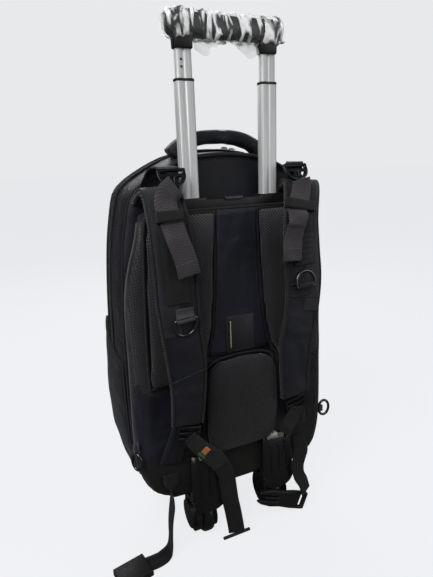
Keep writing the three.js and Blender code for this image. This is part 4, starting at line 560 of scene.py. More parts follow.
# %% Meshes from points in millimetres
def new_piece(name, points, faces, finish, body="bag", slot="nylon", replaces=(), uv=None):
    """A mesh piece from points in millimetres. It rides on its body and may stand for CAD nodes."""
    mesh = bpy.data.meshes.new(name)
    mesh.from_pydata([at(*p) for p in points], [], [tuple(int(i) for i in f) for f in faces])
    mesh.update()
    if uv is not None:
        layer = mesh.uv_layers.new(name="Band")
        for loop in mesh.loops:
            layer.data[loop.index].uv = uv[loop.vertex_index]
    work = bmesh.new()
    work.from_mesh(mesh)
    bmesh.ops.recalc_face_normals(work, faces=work.faces)
    work.to_mesh(mesh)
    work.free()
    mesh.shade_smooth()
    mesh.materials.append(finish)
    piece = bpy.data.objects.new(name, mesh)
    bpy.context.scene.collection.objects.link(piece)
    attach(piece, body)
    if replaces:
        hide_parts(*replaces)
    return piece


def ring_faces(count, rings, joined=False, caps=False):
    """Quads between rings of count points, with a flat cap on each end if asked."""
    faces = []
    for r in range(rings if joined else rings - 1):
        a, b = r * count, ((r + 1) % rings) * count
        faces += [(a + i, a + (i + 1) % count, b + (i + 1) % count, b + i) for i in range(count)]
    if caps:
        faces += [tuple(range(count))[::-1], tuple((rings - 1) * count + i for i in range(count))]
    return faces


def loft(name, rings, finish, joined=False, caps=True, **where):
    count = len(rings[0])
    return new_piece(name, [p for ring in rings for p in ring], ring_faces(count, len(rings), joined, caps),
                     finish, **where)


def round_angles(count):
    """count angles that share a full turn evenly."""
    return np.linspace(0, 2 * math.pi, count, endpoint=False)


def grid(name, rows, finish, **where):
    """An open sheet through rows of points."""
    n, m = len(rows), len(rows[0])
    faces = [(r * m + c, r * m + c + 1, (r + 1) * m + c + 1, (r + 1) * m + c)
             for r in range(n - 1) for c in range(m - 1)]
    return new_piece(name, [p for row in rows for p in row], faces, finish, **where)


# %% [markdown]
# A strap or a cord is one section moved along a line. A flat section needs to know which way is across, so its
# rows carry that direction; a round one doesn't, and only has to turn as little as it can on its way.

# %% Sections that travel along a line
FLAT_SECTION = ((-1, -0.3), (-0.985, -1), (-0.5, -1), (0, -1), (0.5, -1), (0.985, -1),
                (1, -0.3), (1, 0.3), (0.985, 1), (0.5, 1), (0, 1), (-0.5, 1), (-0.985, 1), (-1, 0.3))


def stations(rows, count, joined=False):
    """Place, sideways and outward directions and width at even steps along rows (x, y, z, wx, wy, wz, w)."""
    places = smooth_rows(rows, count, joined)
    found = []
    for i, row in enumerate(places):
        before = places[(i - 1) % count if joined else max(i - 1, 0)][:3]
        after = places[(i + 1) % count if joined else min(i + 1, count - 1)][:3]
        along = Vector(after - before).normalized()
        wide = Vector(row[3:6])
        wide = (wide - along * wide.dot(along)).normalized()
        found.append((Vector(row[:3]), wide, along.cross(wide), row[6] if len(row) > 6 else 1))
    return found


def band(name, rows, thickness, finish, steps=60, lift=0.0, width=1.0, shift=0.0, part=(0, 1), **where):
    """A flat band: rows as for stations, lifted outward and shifted sideways, over a part of its length."""
    found = stations(rows, steps)
    first, last = int(part[0] * (steps - 1)), int(math.ceil(part[1] * (steps - 1)))
    found = found[first:last + 1]
    points, uv, run = [], [], 0.0
    for i, (place, wide, out, size) in enumerate(found):
        if i:
            run += (place - found[i - 1][0]).length * MM
        for a, b in FLAT_SECTION:
            points.append(place + wide * (a * size * width / 2 + shift) + out * (lift + b * thickness / 2))
            uv.append((a * size * width / 2 * MM, run))
    where.setdefault("slot", "webbing")
    return new_piece(name, points, ring_faces(len(FLAT_SECTION), len(found), caps=True), finish, uv=uv, **where)


def rope(name, points, radius, finish, sides=10, joined=False, steps=None, **where):
    """A round bead along points."""
    steps = steps or max(12, len(points) * 6)
    path = smooth_rows([tuple(p)[:3] for p in points], steps, joined)
    rings, side = [], None
    for i in range(steps):
        before = path[(i - 1) % steps if joined else max(i - 1, 0)]
        after = path[(i + 1) % steps if joined else min(i + 1, steps - 1)]
        along = Vector(after - before).normalized()
        if side is None:
            side = along.cross(Vector((0.3, 1, 0.2))).normalized()
        side = (side - along * side.dot(along)).normalized()
        other = along.cross(side)
        angles = [2 * math.pi * k / sides for k in range(sides)]
        rings.append([Vector(path[i]) + (side * math.cos(a) + other * math.sin(a)) * radius for a in angles])
    return loft(name, rings, finish, joined=joined, caps=not joined, **where)


# %% [markdown]
# Stitches are short rounded dashes that lie half in the cloth. A line of them is one mesh: each dash is a
# small eight-sided bead along the line, so a seam can follow any curve.

# %% Stitches
def stitches(name, points, finish=None, pitch=3.2, dash=2.1, radius=0.32, **where):
    path = smooth_rows([tuple(p)[:3] for p in points], 400)
    length = np.concatenate([[0], np.cumsum(np.linalg.norm(np.diff(path, axis=0), axis=1))])
    verts, faces = [], []
    for start in np.arange(0, length[-1] - dash, pitch):
        a, b = (Vector([np.interp(start + e, length, path[:, k]) for k in range(3)]) for e in (0, dash))
        along = (b - a).normalized()
        side = along.cross(Vector((0.31, 0.87, 0.38))).normalized()
        other = along.cross(side)
        base = len(verts)
        for share, size in ((0, 0.35), (0.2, 1), (0.8, 1), (1, 0.35)):
            for k in range(5):
                angle = 2 * math.pi * k / 5
                verts.append(a.lerp(b, share) + (side * math.cos(angle) + other * math.sin(angle)) * radius * size)
        faces += [tuple(base + i for i in f) for f in ring_faces(5, 4, caps=True)]
    return new_piece(name, verts, faces, finish or thread_finish, **where)


# %% [markdown]
# Hard parts keep the shape of the frame's solid. A copy of it gets its flat faces joined and its edges
# rounded by a small bevel, because it is the bright line along an edge that makes plastic look moulded.

# %% Hard copies
def frame_mesh(node):
    """The solid's mesh for editing, with its doubled points merged."""
    work = bmesh.new()
    work.from_mesh(frame["nodes"][node].data)
    bmesh.ops.remove_doubles(work, verts=work.verts, dist=0.00002)
    return work


def hard_copy(node, finish, edge=0.6, segments=2, name=None, angle=28):
    work = frame_mesh(node)
    bmesh.ops.dissolve_limit(work, angle_limit=math.radians(3), verts=work.verts, edges=work.edges)
    bmesh.ops.recalc_face_normals(work, faces=work.faces)
    mesh = bpy.data.meshes.new(name or node + "_moulding")
    work.to_mesh(mesh)
    work.free()
    piece = bpy.data.objects.new(mesh.name, mesh)
    bpy.context.scene.collection.objects.link(piece)
    bevel = piece.modifiers.new("rounded edges", "BEVEL")
    bevel.width = edge * MM
    bevel.segments = segments
    bevel.limit_method = "ANGLE"
    bevel.angle_limit = math.radians(angle)
    bevel.harden_normals = False
    apply_modifiers(piece)
    return stands_for(piece, node, finish, sharp=38)


def apply_modifiers(piece):
    """Replaces the piece's mesh by what its modifiers make of it."""
    bpy.context.view_layer.update()
    seen = piece.evaluated_get(bpy.context.evaluated_depsgraph_get())
    mesh = bpy.data.meshes.new_from_object(seen)
    piece.modifiers.clear()
    old, piece.data = piece.data, mesh
    bpy.data.meshes.remove(old)


def body_of_node(node):
    for body, nodes in frame["record"]["behaviour"]["bodies"].items():
        if node in nodes:
            return body
    return "bag"


def stands_for(piece, node, finish, sharp=None):
    """Gives the piece its finish, and lets it ride and be shown in the place of a node."""
    piece.data.shade_smooth()
    if sharp:
        piece.data.set_sharp_from_angle(angle=math.radians(sharp))
    piece.data.materials.clear()
    piece.data.materials.append(finish)
    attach(piece, body_of_node(node))
    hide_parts(node)
    return piece


# %% [markdown]
# A sewn pad is foam under cloth: its middle stands up and its edges are held by the binding. The frame's
# solid is remeshed into even faces, a little air pressure swells it as a cloth, and a cap on how far a
# point may move keeps it in its place. A seam or binding is added afterwards.

# %% Puffed pads
def puffed(node, finish, voxel=4.0, pressure=4.0, cap=3.0, smooth=6, name=None):
    work = frame_mesh(node)
    mesh = bpy.data.meshes.new(name or node + "_pad")
    work.to_mesh(mesh)
    work.free()
    piece = bpy.data.objects.new(mesh.name, mesh)
    bpy.context.scene.collection.objects.link(piece)
    remesh = piece.modifiers.new("even faces", "REMESH")
    remesh.mode = "VOXEL"
    remesh.voxel_size = voxel * MM
    relax = piece.modifiers.new("relax", "SMOOTH")
    relax.iterations = smooth
    apply_modifiers(piece)
    rest = np.array([v.co for v in piece.data.vertices])
    cloth = piece.modifiers.new("air", "CLOTH")
    cloth.settings.use_pressure = True
    cloth.settings.uniform_pressure_force = pressure
    cloth.settings.effector_weights.gravity = 0
    cloth.settings.quality = 5
    for step in range(1, 13):
        bpy.context.scene.frame_set(step)
    apply_modifiers(piece)
    bpy.context.scene.frame_set(1)
    moved = np.array([v.co for v in piece.data.vertices]) - rest
    far = np.linalg.norm(moved, axis=1, keepdims=True)
    moved *= np.minimum(1, cap * MM / np.maximum(far, 1e-9))
    piece.data.vertices.foreach_set("co", (rest + moved).ravel())
    print(node, "swelled by up to", round(float(min(far.max() * 1000, cap)), 1), "mm")
    divide = piece.modifiers.new("finer", "SUBSURF")
    divide.levels = divide.render_levels = 1
    apply_modifiers(piece)
    stands_for(piece, node, finish)
    return piece

# %% [markdown]
# The bands are rows along their middles: a place, the direction across the band, and its width, in the
# millimetres of the CAD part. The first number of each is its thickness.

# %% Rows of the bands
BANDS = {
    "edge_welt": (5, (
        (119.7, 37.4, 530, 0, 1, 0, 5), (100.3, 37.4, 542.9, 0, 1, 0, 5), (79.6, 37.4, 553.5, 0, 1, 0, 5),
        (57.8, 37.4, 561.4, 0, 1, 0, 5), (34.9, 37.4, 565.7, 0, 1, 0, 5), (11.6, 37.4, 567.7, 0, 1, 0, 5),
        (-11.6, 37.4, 567.7, 0, 1, 0, 5), (-34.9, 37.4, 565.7, 0, 1, 0, 5), (-57.8, 37.4, 561.4, 0, 1, 0, 5),
        (-79.6, 37.4, 553.5, 0, 1, 0, 5), (-100.3, 37.4, 542.9, 0, 1, 0, 5), (-119.7, 37.4, 530, 0, 1, 0, 5))),
    "grab_handle": (15, (
        (-68, 62, 571.2, 0, 1, 0, 24), (-53.6, 62, 582.5, 0, 1, 0, 24), (-36.5, 62, 589.2, 0, 1, 0, 24),
        (-18.4, 62, 592.3, 0, 1, 0, 24), (0, 62, 593.1, 0, 1, 0, 24), (18.4, 62, 592.3, 0, 1, 0, 24),
        (36.5, 62, 589.2, 0, 1, 0, 24), (53.6, 62, 582.5, 0, 1, 0, 24), (68, 62, 571.2, 0, 1, 0, 24))),
    "shoulder_strap_left": (10, (
        (-105, 37.7, 511.2, 1, 0, 0, 50.4), (-102.9, 5, 525.7, 1, 0.07, 0.02, 50.8),
        (-100.6, -14.5, 493.4, 1, 0.01, 0.04, 52.6), (-99.7, -16.9, 473.9, 1, 0, 0.06, 54.1),
        (-97.4, -18.1, 434.5, 1, 0, 0.04, 56.7), (-96.4, -18.1, 395, 1, 0, 0.04, 57.7),
        (-93.4, -17.9, 355.7, 1, 0, 0.1, 54.9), (-89.4, -17.5, 316.4, 0.99, 0, 0.1, 54.5),
        (-87.9, -17.2, 296.7, 1, 0, 0.04, 53.6), (-88.1, -16.3, 257.3, 1, 0, -0.04, 48.7),
        (-91.5, -14.6, 218, 1, 0, -0.1, 45.9))),
    "shoulder_strap_right": (10, (
        (105, 37.7, 511.2, 1, 0, 0, 50.4), (99.7, 5.1, 525.7, 0.97, -0.22, -0.08, 50.8),
        (88, -14.3, 494.9, 0.98, -0.04, -0.19, 52.6), (85.8, -16.8, 475.3, 1, 0, -0.03, 54.1),
        (87.1, -18.1, 435.6, 1, 0, 0.05, 56.7), (90.3, -18.1, 395.9, 1, 0, 0.05, 57.7),
        (88.8, -17.9, 356.2, 0.99, 0, -0.1, 54.9), (81.9, -17.5, 317.1, 0.97, 0, -0.23, 54.5),
        (78.4, -17.2, 297.5, 1, 0, -0.09, 53.6), (78.2, -16.3, 257.7, 1, 0, 0.03, 48.7),
        (80, -14.6, 218, 1, 0, 0.05, 45.9))),
    "strap_webbing_left": (1.6, (
        (-100.7, -20, 497.2, 1, 0.01, 0.04, 30), (-99.7, -22.9, 475.4, 1, 0, 0.06, 30),
        (-97.8, -24.1, 443.2, 1, 0, 0.05, 30), (-96.8, -24.3, 411.2, 1, 0, 0.02, 30),
        (-96.1, -24.2, 390, 1, 0, 0.05, 30))),
    "strap_webbing_right": (1.6, (
        (88.3, -20, 497.2, 0.98, -0.04, -0.2, 30), (86.1, -22.3, 481.3, 1, -0.01, -0.08, 30),
        (86, -23.7, 457.3, 1, 0, 0.04, 30), (87.2, -24.2, 433.7, 1, 0, 0.06, 30),
        (88.5, -24.3, 418, 1, 0, 0.1, 30))),
    "lifter_tail_left": (1.6, (
        (-88, -14, 532.1, 0.69, -0.06, -0.72, 28.5), (-99.3, -14.4, 522.8, 0.7, -0.07, -0.71, 28.5),
        (-102.9, -18.1, 510, 0.98, 0.07, 0.18, 28.5), (-100, -22.4, 496.3, 0.98, 0.03, 0.18, 28.5),
        (-97.1, -25.7, 482.3, 0.98, 0.07, 0.17, 28.5), (-94.2, -30.7, 468.9, 0.97, 0.06, 0.23, 28.5),
        (-90.2, -33.5, 455.1, 0.96, 0.04, 0.28, 28.5), (-86.5, -34.6, 440.9, 0.98, 0, 0.21, 28.5),
        (-83.6, -33.8, 426.6, 0.98, -0.01, 0.2, 28.5))),
    "lifter_tail_right": (1.6, (
        (88, -14, 532.1, 1, 0, 0.03, 28.5), (88.7, -14.9, 524.8, 1, 0.01, 0.08, 28.5),
        (85, -18.4, 511.4, 0.86, -0.18, -0.47, 28.5), (81.1, -20.7, 505.5, 0.85, -0.19, -0.49, 28.5),
        (74.8, -25, 493.1, 0.95, -0.19, -0.23, 28.5), (73.1, -30.7, 488.8, 0.98, -0.16, -0.1, 28.5),
        (70, -34.5, 477, 0.98, 0.07, -0.17, 28.5), (68.7, -32, 470.1, 0.99, 0.05, -0.16, 28.5),
        (66.8, -29.2, 455.9, 1, 0, -0.08, 28.5), (66.3, -29.2, 448.6, 1, 0, -0.06, 28.5),
        (65.3, -29.5, 433.9, 1, 0, -0.07, 28.5), (64.8, -29.6, 426.5, 1, 0, -0.07, 28.5))),
    "strap_keeper_left": (1.2, (
        (-117.2, -19.9, 497, 0.04, -0.2, -0.98, 13), (-115.1, -25.9, 498.4, 0.04, -0.2, -0.98, 13),
        (-107.8, -26, 498.7, 0.04, -0.2, -0.98, 13), (-100.4, -25.8, 498.9, 0.04, -0.2, -0.98, 13),
        (-93, -25.9, 499.3, 0.04, -0.2, -0.98, 13), (-85.6, -25.6, 499.5, 0.04, -0.2, -0.98, 13),
        (-83.6, -19.6, 498.3, 0.04, -0.2, -0.98, 13))),
    "strap_keeper_right": (1.2, (
        (60.5, -18.5, 503.5, -0.21, -0.2, -0.96, 13), (64.3, -24.9, 504, -0.21, -0.2, -0.96, 13),
        (73.4, -25.3, 502.1, -0.21, -0.2, -0.96, 13), (82.5, -25.5, 500.2, -0.21, -0.2, -0.96, 13),
        (91.6, -26.1, 498.3, -0.21, -0.2, -0.96, 13), (100.6, -26.5, 496.4, -0.21, -0.2, -0.96, 13),
        (104.5, -20.4, 494.3, -0.21, -0.2, -0.96, 13))),
    "side_ring_tab_left": (1.6, (
        (-153.4, 21, 183.2, 0, 1, 0, 9), (-153.4, 21, 178.8, 0, 1, 0, 9), (-153.3, 21, 174.4, 0, 1, 0, 9),
        (-153.4, 21, 170, 0, 1, 0, 9), (-156.3, 21, 167.3, 0, 1, 0, 9), (-159.2, 21, 170, 0, 1, 0, 9),
        (-159.3, 21, 174.4, 0, 1, 0, 9), (-159.2, 21, 178.8, 0, 1, 0, 9), (-159.2, 21, 183.2, 0, 1, 0, 9))),
    "side_ring_tab_right": (1.6, (
        (152, 23.9, 157, 0, 0, 1, 9), (154.5, 23.9, 157, 0, 0, 1, 9), (157, 23.8, 157, 0, 0, 1, 9),
        (158.2, 23.2, 157, 0, 0, 1, 9), (159.2, 21, 157, 0, 0, 1, 9), (158.2, 18.8, 157, 0, 0, 1, 9),
        (157, 18.2, 157, 0, 0, 1, 9), (154.5, 18.1, 157, 0, 0, 1, 9), (152, 18.1, 157, 0, 0, 1, 9))),
    "anchor_wing_left": (3.2, (
        (-111.5, 5.5, 150, 0.98, 0.04, -0.21, 32), (-107.4, 1.7, 169, 0.98, 0.04, -0.22, 30.4),
        (-102.3, -2.2, 187.8, 0.96, 0.06, -0.27, 28.8), (-97.4, -5.5, 206.7, 0.98, 0.03, -0.21, 27.2),
        (-93.5, -7.4, 226, 0.98, 0.02, -0.2, 25.6))),
    "anchor_wing_right": (3.2, (
        (100, 5.5, 150, 0.98, -0.04, 0.21, 32), (95.9, 1.7, 169, 0.98, -0.04, 0.22, 30.4),
        (90.8, -2.2, 187.8, 0.96, -0.06, 0.27, 28.8), (85.9, -5.5, 206.7, 0.98, -0.03, 0.21, 27.2),
        (82, -7.4, 226, 0.98, -0.02, 0.2, 25.6))),
    "adjuster_webbing_left": (1.6, (
        (-91.5, -21.3, 200.8, 0.82, 0.01, 0.57, 18.8), (-80.4, -21.9, 184.7, 0.8, 0, 0.61, 21),
        (-61.8, -20.8, 162.3, 0.79, -0.02, 0.62, 24.4), (-49.5, -19.1, 147.2, 0.79, -0.03, 0.61, 25),
        (-37.3, -15.7, 121.3, 0.96, -0.19, 0.18, 25), (-34.1, -13.8, 102.1, 0.93, -0.34, 0.13, 25),
        (-30.9, -13.6, 73.1, 0.92, -0.37, 0.12, 25), (-27.4, -13.1, 53.9, 0.91, -0.37, 0.17, 25),
        (-22.7, -11.6, 25.2, 0.92, -0.37, 0.1, 25), (-20, -10.3, 5.9, 0.92, -0.37, 0.11, 25))),
    "adjuster_webbing_right": (1.6, (
        (80, -21.3, 200.8, 1, 0, -0.09, 20), (78.4, -21.7, 193.6, 0.77, -0.16, -0.62, 20),
        (74.7, -22.8, 190.3, 0.67, -0.24, -0.7, 20), (69.1, -24.3, 185.4, 0.64, -0.41, -0.65, 20),
        (65.3, -25.3, 182.2, 0.6, -0.62, -0.51, 20), (60.3, -26.4, 176.6, 0.56, -0.78, -0.27, 20),
        (58.3, -26.5, 172, 0.43, -0.89, -0.16, 20), (56, -26.3, 164.8, 0.28, -0.96, -0.11, 20))),
    "waist_belt_left": (1.6, (
        (-113, 6.9, 130, 1, 0, 0, 25), (-114, 3.6, 118.3, 0.95, 0.09, -0.29, 25),
        (-116.1, -3.3, 107.9, 0.24, 0.81, -0.53, 25), (-117.8, -6.6, 95.9, 0.1, 1, 0, 25),
        (-119, -5.1, 83.4, 0.11, 0.98, 0.15, 25), (-119.6, -1.7, 71.2, 0.12, 0.95, 0.29, 25),
        (-120.1, 1, 58.9, 0.11, 0.98, 0.16, 25), (-120.6, 2.7, 46.3, 0.1, 0.99, 0.1, 25),
        (-121, 3.7, 33.7, 0.1, 0.99, 0.05, 25), (-121.5, 3.9, 21, 0.1, 0.99, -0.03, 25),
        (-124.4, 3.1, 8.7, 0.01, 0.98, -0.18, 25), (-134.4, -0.4, 2.5, -0.32, 0.94, -0.06, 25),
        (-146.6, -3.6, 2.7, -0.17, 0.99, 0.03, 25), (-159, -5.6, 4.6, -0.16, 0.99, 0.03, 25))),
    "waist_belt_right": (1.6, (
        (101, 6.9, 130, 1, 0, 0, 25), (100.6, -1.9, 117.1, 0.99, -0.11, -0.1, 25),
        (98.8, -6.6, 110.5, 0.96, -0.1, -0.28, 25), (95.9, -8.1, 102.7, 0.94, -0.03, -0.35, 25),
        (91.7, -9.2, 86.6, 0.99, 0.12, -0.06, 25), (93.7, -10.1, 69.9, 0.92, 0.35, 0.2, 25),
        (96.8, -11.6, 62.2, 0.83, 0.48, 0.29, 25), (100.1, -13.1, 54.6, 0.86, 0.48, 0.2, 25),
        (103.8, -15.1, 38.4, 0.87, 0.47, 0.14, 25))),
}

# %% [markdown]
# The body is two cloth tubs that meet at the main zip. Each is a loft of one outline, drawn in a little more
# at every step towards its back or front. Real nylon over foam isn't flat, so a slow noise moves the skin
# by a millimetre or two and the long sides sag.

# %% The body's outline
OUTLINE = ((0, 0.6), (0.01, 0.72), (0.03, 0.83), (0.063, 0.92), (0.11, 0.965), (0.2, 0.995), (0.35, 1),
           (0.52, 0.99), (0.66, 0.965), (0.77, 0.93), (0.848, 0.885), (0.895, 0.845), (0.922, 0.77),
           (0.945, 0.665), (0.965, 0.55), (0.982, 0.43), (0.994, 0.27), (1, 0.1))
BAG_HALF, BAG_LOW, BAG_TALL = 162, 80, 494
BAG_ZIP, BAG_FRONT = 96, 203
BAG_MIDDLE = BAG_LOW + BAG_TALL / 2


def body_ring(y, inset, count=132):
    """Points round the body at depth y, drawn in by inset millimetres."""
    tall = (BAG_TALL / 2 - inset) / (BAG_TALL / 2)
    half = [(w * (BAG_HALF - inset), y, BAG_MIDDLE + (h - 0.5) * BAG_TALL * tall) for h, w in OUTLINE]
    return smooth_rows(half + [(-x, y, z) for x, _, z in reversed(half)], count, joined=True)


def rumple(point, size, scale, seed):
    """A slow, repeatable unevenness at a place, in millimetres."""
    return noise.noise(Vector(point) * scale + Vector((seed, seed * 0.7, -seed))) * size


def rumpled(ring, size, scale, seed, centre=(0, 100, 320)):
    moved = []
    for p in ring:
        out = (Vector(p) - Vector((centre[0], p[1], centre[2])))
        out = Vector((out.x, 0, out.z)).normalized()
        moved.append(Vector(p) + out * (rumple(p, size, scale, seed) - size * 0.35))
    return moved


# %% Rear half of the body
REAR_WALL = ((0, 14), (0.02, 9), (0.1, 5), (0.32, 2.4), (0.66, 0.8), (1, 0))
rear_rings = []
for share in np.linspace(0, 1, 16) ** 1.5:
    rear_rings.append(rumpled(body_ring(BAG_REAR + share * 58, table_value(REAR_WALL, share)), 1.6, 0.018, 3))
back_wall = []
for k, shrink in enumerate((0.06, 0.2, 0.36, 0.52, 0.66, 0.78, 0.88, 0.95, 0.985)):
    ring = []
    for x, _, z in body_ring(BAG_REAR, 14):
        px, pz = x * shrink, BAG_MIDDLE + (z - BAG_MIDDLE) * shrink
        swell = 5 * math.sin(math.pi * min(1, shrink)) * (pz > 505)
        crease = 1.3 * math.exp(-((px * 0.8 - (pz - 536)) / 9) ** 2) * (pz > 505)
        ring.append(Vector((px, BAG_REAR - 0.2 - swell + crease + rumple((px, 0, pz), 1.1, 0.03, 9), pz)))
    back_wall.append(ring)
rear_shell = loft("rear_shell_cloth", back_wall + rear_rings, side_nylon, replaces=["main_shell_rear"])
print("rear shell faces:", len(rear_shell.data.polygons))

# %% [markdown]
# The front tub is deeper and closes in a rounded front. Its face is drawn in by shrinking rings, so that only
# a small flat cap is left in the middle.

# %% Front half of the body
FRONT_WALL = ((0, 0), (0.28, 2), (0.52, 7), (0.72, 16), (0.87, 31), (0.96, 52), (1, 78))
front_rings = []
for share in np.linspace(0, 1, 26):
    ring = body_ring(BAG_ZIP + 0.6 + share * 106.2, table_value(FRONT_WALL, share))
    front_rings.append(rumpled(ring, 2.2, 0.014, 5))
for shrink in (0.85, 0.65, 0.42, 0.2, 0.05):
    front_rings.append([Vector((x * shrink, BAG_FRONT + rumple((x, 1, z), 1.6, 0.02, 4) - 0.8,
                                BAG_MIDDLE + (z - BAG_MIDDLE) * shrink)) for x, _, z in body_ring(BAG_FRONT, 78)])
front_shell = loft("front_shell_cloth", front_rings, side_nylon, replaces=["main_shell_front"])
print("front shell faces:", len(front_shell.data.polygons))

# %% [markdown]
# Between the tubs runs the main zip: two strips of tape with a row of coil teeth, from one side over the top
# to the other. Piping, a cord rolled in cloth, covers the seam between each tub's wall and its tape.

# %% Zip and piping
def over_the_top(y, inset, low):
    """The part of the outline above a height, from the right over the top to the left."""
    ring = body_ring(y, inset, 260)
    start = min(range(len(ring)), key=lambda i: abs(ring[i][2] - low) + (ring[i][0] < 0) * 999)
    ring = np.roll(ring, -start, axis=0)
    stop = max(i for i in range(len(ring)) if ring[i][2] > low)
    return ring[:stop]


def outward(p):
    half = Vector((p[0] / BAG_HALF, 0, (p[2] - BAG_MIDDLE) / (BAG_TALL / 2)))
    return Vector((half.x ** 5, 0, half.z ** 5)).normalized() if half.length > 0.1 else Vector((0, 0, 1))


def strip_over(name, y, width, lift, low, finish, thick=0.8, **where):
    rows = []
    line = over_the_top(y, 0, low)
    for i, p in enumerate(line[::3]):
        along = Vector(line[min(3 * i + 3, len(line) - 1)] - line[max(3 * i - 3, 0)]).normalized()
        out = Vector((along.z, 0, -along.x))
        out = out if out.dot(outward(p)) > 0 else -out
        place = Vector(p) + out * lift
        rows.append((*place, 0, 1, 0, width))
    return band(name, rows, thick, finish, steps=150, slot="nylon", **where)


strip_over("zip_tape_rear", 90.5, 9, 0.5, 150, zip_tape)
strip_over("zip_tape_front", 102, 9, 0.3, 150, zip_tape)
coil = []
for i, p in enumerate(over_the_top(BAG_ZIP + 0.2, 0, 152)):
    coil.append(Vector(p) + outward(p) * 0.9)
rope("zip_coil", coil[::2], 1.7, moulded, sides=8, steps=300)
for name, y, lift in (("piping_rear", 84.6, 0.4), ("piping_front", 108.4, 0.2)):
    rope(name, [Vector(p) + outward(p) * lift for p in over_the_top(y, 0.4, 92)][::3], 1.5, binding_tape,
         sides=8, steps=200)
rope("piping_back_edge", [Vector(p) for p in over_the_top(42.5, 6.8, 96)][::3], 1.7, binding_tape, sides=8,
     steps=200)
stitches("zip_seam_rear", [Vector(p) + outward(p) * 0.7 for p in over_the_top(87.6, 0.3, 150)][::4], slot="nylon")

# %% [markdown]
# A thick welt stiffens the upper edge behind the tubes. It is a plain round bead with a seam just below it.

# %% Top welt, a thick roll over the back wall's upper corner
WELT = BANDS["edge_welt"][1]
rope("edge_roll", [row[:3] for row in WELT], 2.9, nylon, sides=12, steps=80, replaces=["edge_welt"])
stitches("edge_roll_seam", [(x, y - 0.4, z - 4.6) for x, y, z, *_ in WELT], slot="nylon")

# %% [markdown]
# Each side pocket is a curved sheet of cloth with a bound mouth that slants forward and up. It is made as two
# sheets, two millimetres apart, that bulge from the bag's side, with a binding along the mouth.

# %% Side pockets
POCKET_REAR, POCKET_FRONT, POCKET_LOW, MOUTH_HIGH, MOUTH_DROP = 46, 150, 128, 334, 42


def side_width(y, z):
    """How far the body's side stands out at a depth and a height."""
    if y < BAG_ZIP:
        inset = table_value(REAR_WALL, (y - BAG_REAR) / 58)
    else:
        inset = table_value(FRONT_WALL, (y - BAG_ZIP) / 107)
    share = 0.5 + (z - BAG_MIDDLE) / (BAG_TALL - 2 * inset)
    return table_value(OUTLINE, min(max(share, 0), 1)) * (BAG_HALF - inset)


def pocket_point(side, u, w, lift):
    y = POCKET_REAR + u * (POCKET_FRONT - POCKET_REAR)
    mouth = MOUTH_HIGH - MOUTH_DROP * (1 - u)
    z = POCKET_LOW + w * (mouth - POCKET_LOW)
    upright = min(1, 1.15 * math.sin(math.pi * w * 0.62)) * (1 - 0.72 * w ** 3)
    bulge = 8.6 * max(0, math.sin(math.pi * u)) ** 0.7 * upright
    fold = rumple((0, y, z), 1.3, 0.035, 6 + side) * math.sin(math.pi * u)
    return Vector((side * (side_width(y, z) + 0.6 + bulge + fold + lift), y, z))


for side, word in SIDES:
    steps_u, steps_w = np.linspace(0, 1, 25), np.linspace(0, 1, 31) ** 1.5
    rings = [[pocket_point(side, u, w, 1.9) for u in steps_u] + [pocket_point(side, u, w, 0) for u in steps_u[::-1]]
             for w in steps_w]
    count = len(rings[0])
    strips = ring_faces(count, len(rings))
    last = (len(rings) - 1) * count
    strips += [(base + i, base + i + 1, base + count - 2 - i, base + count - 1 - i)
               for base in (0, last) for i in range(len(steps_u) - 1)]
    new_piece(f"side_pocket_cloth_{word}", [p for r in rings for p in r], strips, nylon,
              replaces=[f"side_pocket_{word}"])
    rope(f"pocket_binding_{word}", [pocket_point(side, u, 1, 1) for u in np.linspace(0, 1, 12)], 2.0, binding_tape,
         sides=8, steps=60)
    stitches(f"pocket_seam_{word}", [pocket_point(side, u, 0.975, 2.1) for u in np.linspace(0.02, 0.98, 12)],
             slot="nylon")
    rope(f"pocket_edge_{word}", [pocket_point(side, 0.0, w, 1) for w in np.linspace(0, 1, 12)], 1.3, binding_tape,
         sides=8, steps=60)
print("pockets made")

# %% [markdown]
# The back panel is a shallow tray over the handle's tubes. Its wall turns from the bag's back to a rounded
# face, and tape binds its top, where the tubes come out.

# %% Back panel
PANEL_HALF, PANEL_LOW, PANEL_HIGH, PANEL_FACE = 140, 82, 500, 8
PANEL_OUTLINE = ((0, 0.62), (0.012, 0.78), (0.04, 0.9), (0.09, 0.965), (0.2, 1), (0.5, 0.985), (0.75, 0.96),
                 (0.92, 0.925), (0.97, 0.91), (0.993, 0.89), (1, 0.86), (1, 0.8), (1, 0.6), (1, 0.25))
PANEL_WALL = ((0, -3, 9), (0.1, 4, 3), (0.33, 9.5, 0.5), (0.66, 13, 0), (1, 14.5, 0))


def panel_ring(y, grow, low, count=140):
    drawn_in = [1.15 * grow * min(1, max(0, (h - 0.8) / 0.14)) for h, _ in PANEL_OUTLINE]
    half = [(w * (PANEL_HALF + grow - d), y, low + h * (PANEL_HIGH - low))
            for (h, w), d in zip(PANEL_OUTLINE, drawn_in)]
    return smooth_rows(half + [(-x, y, z) for x, _, z in reversed(half)], count, joined=True)


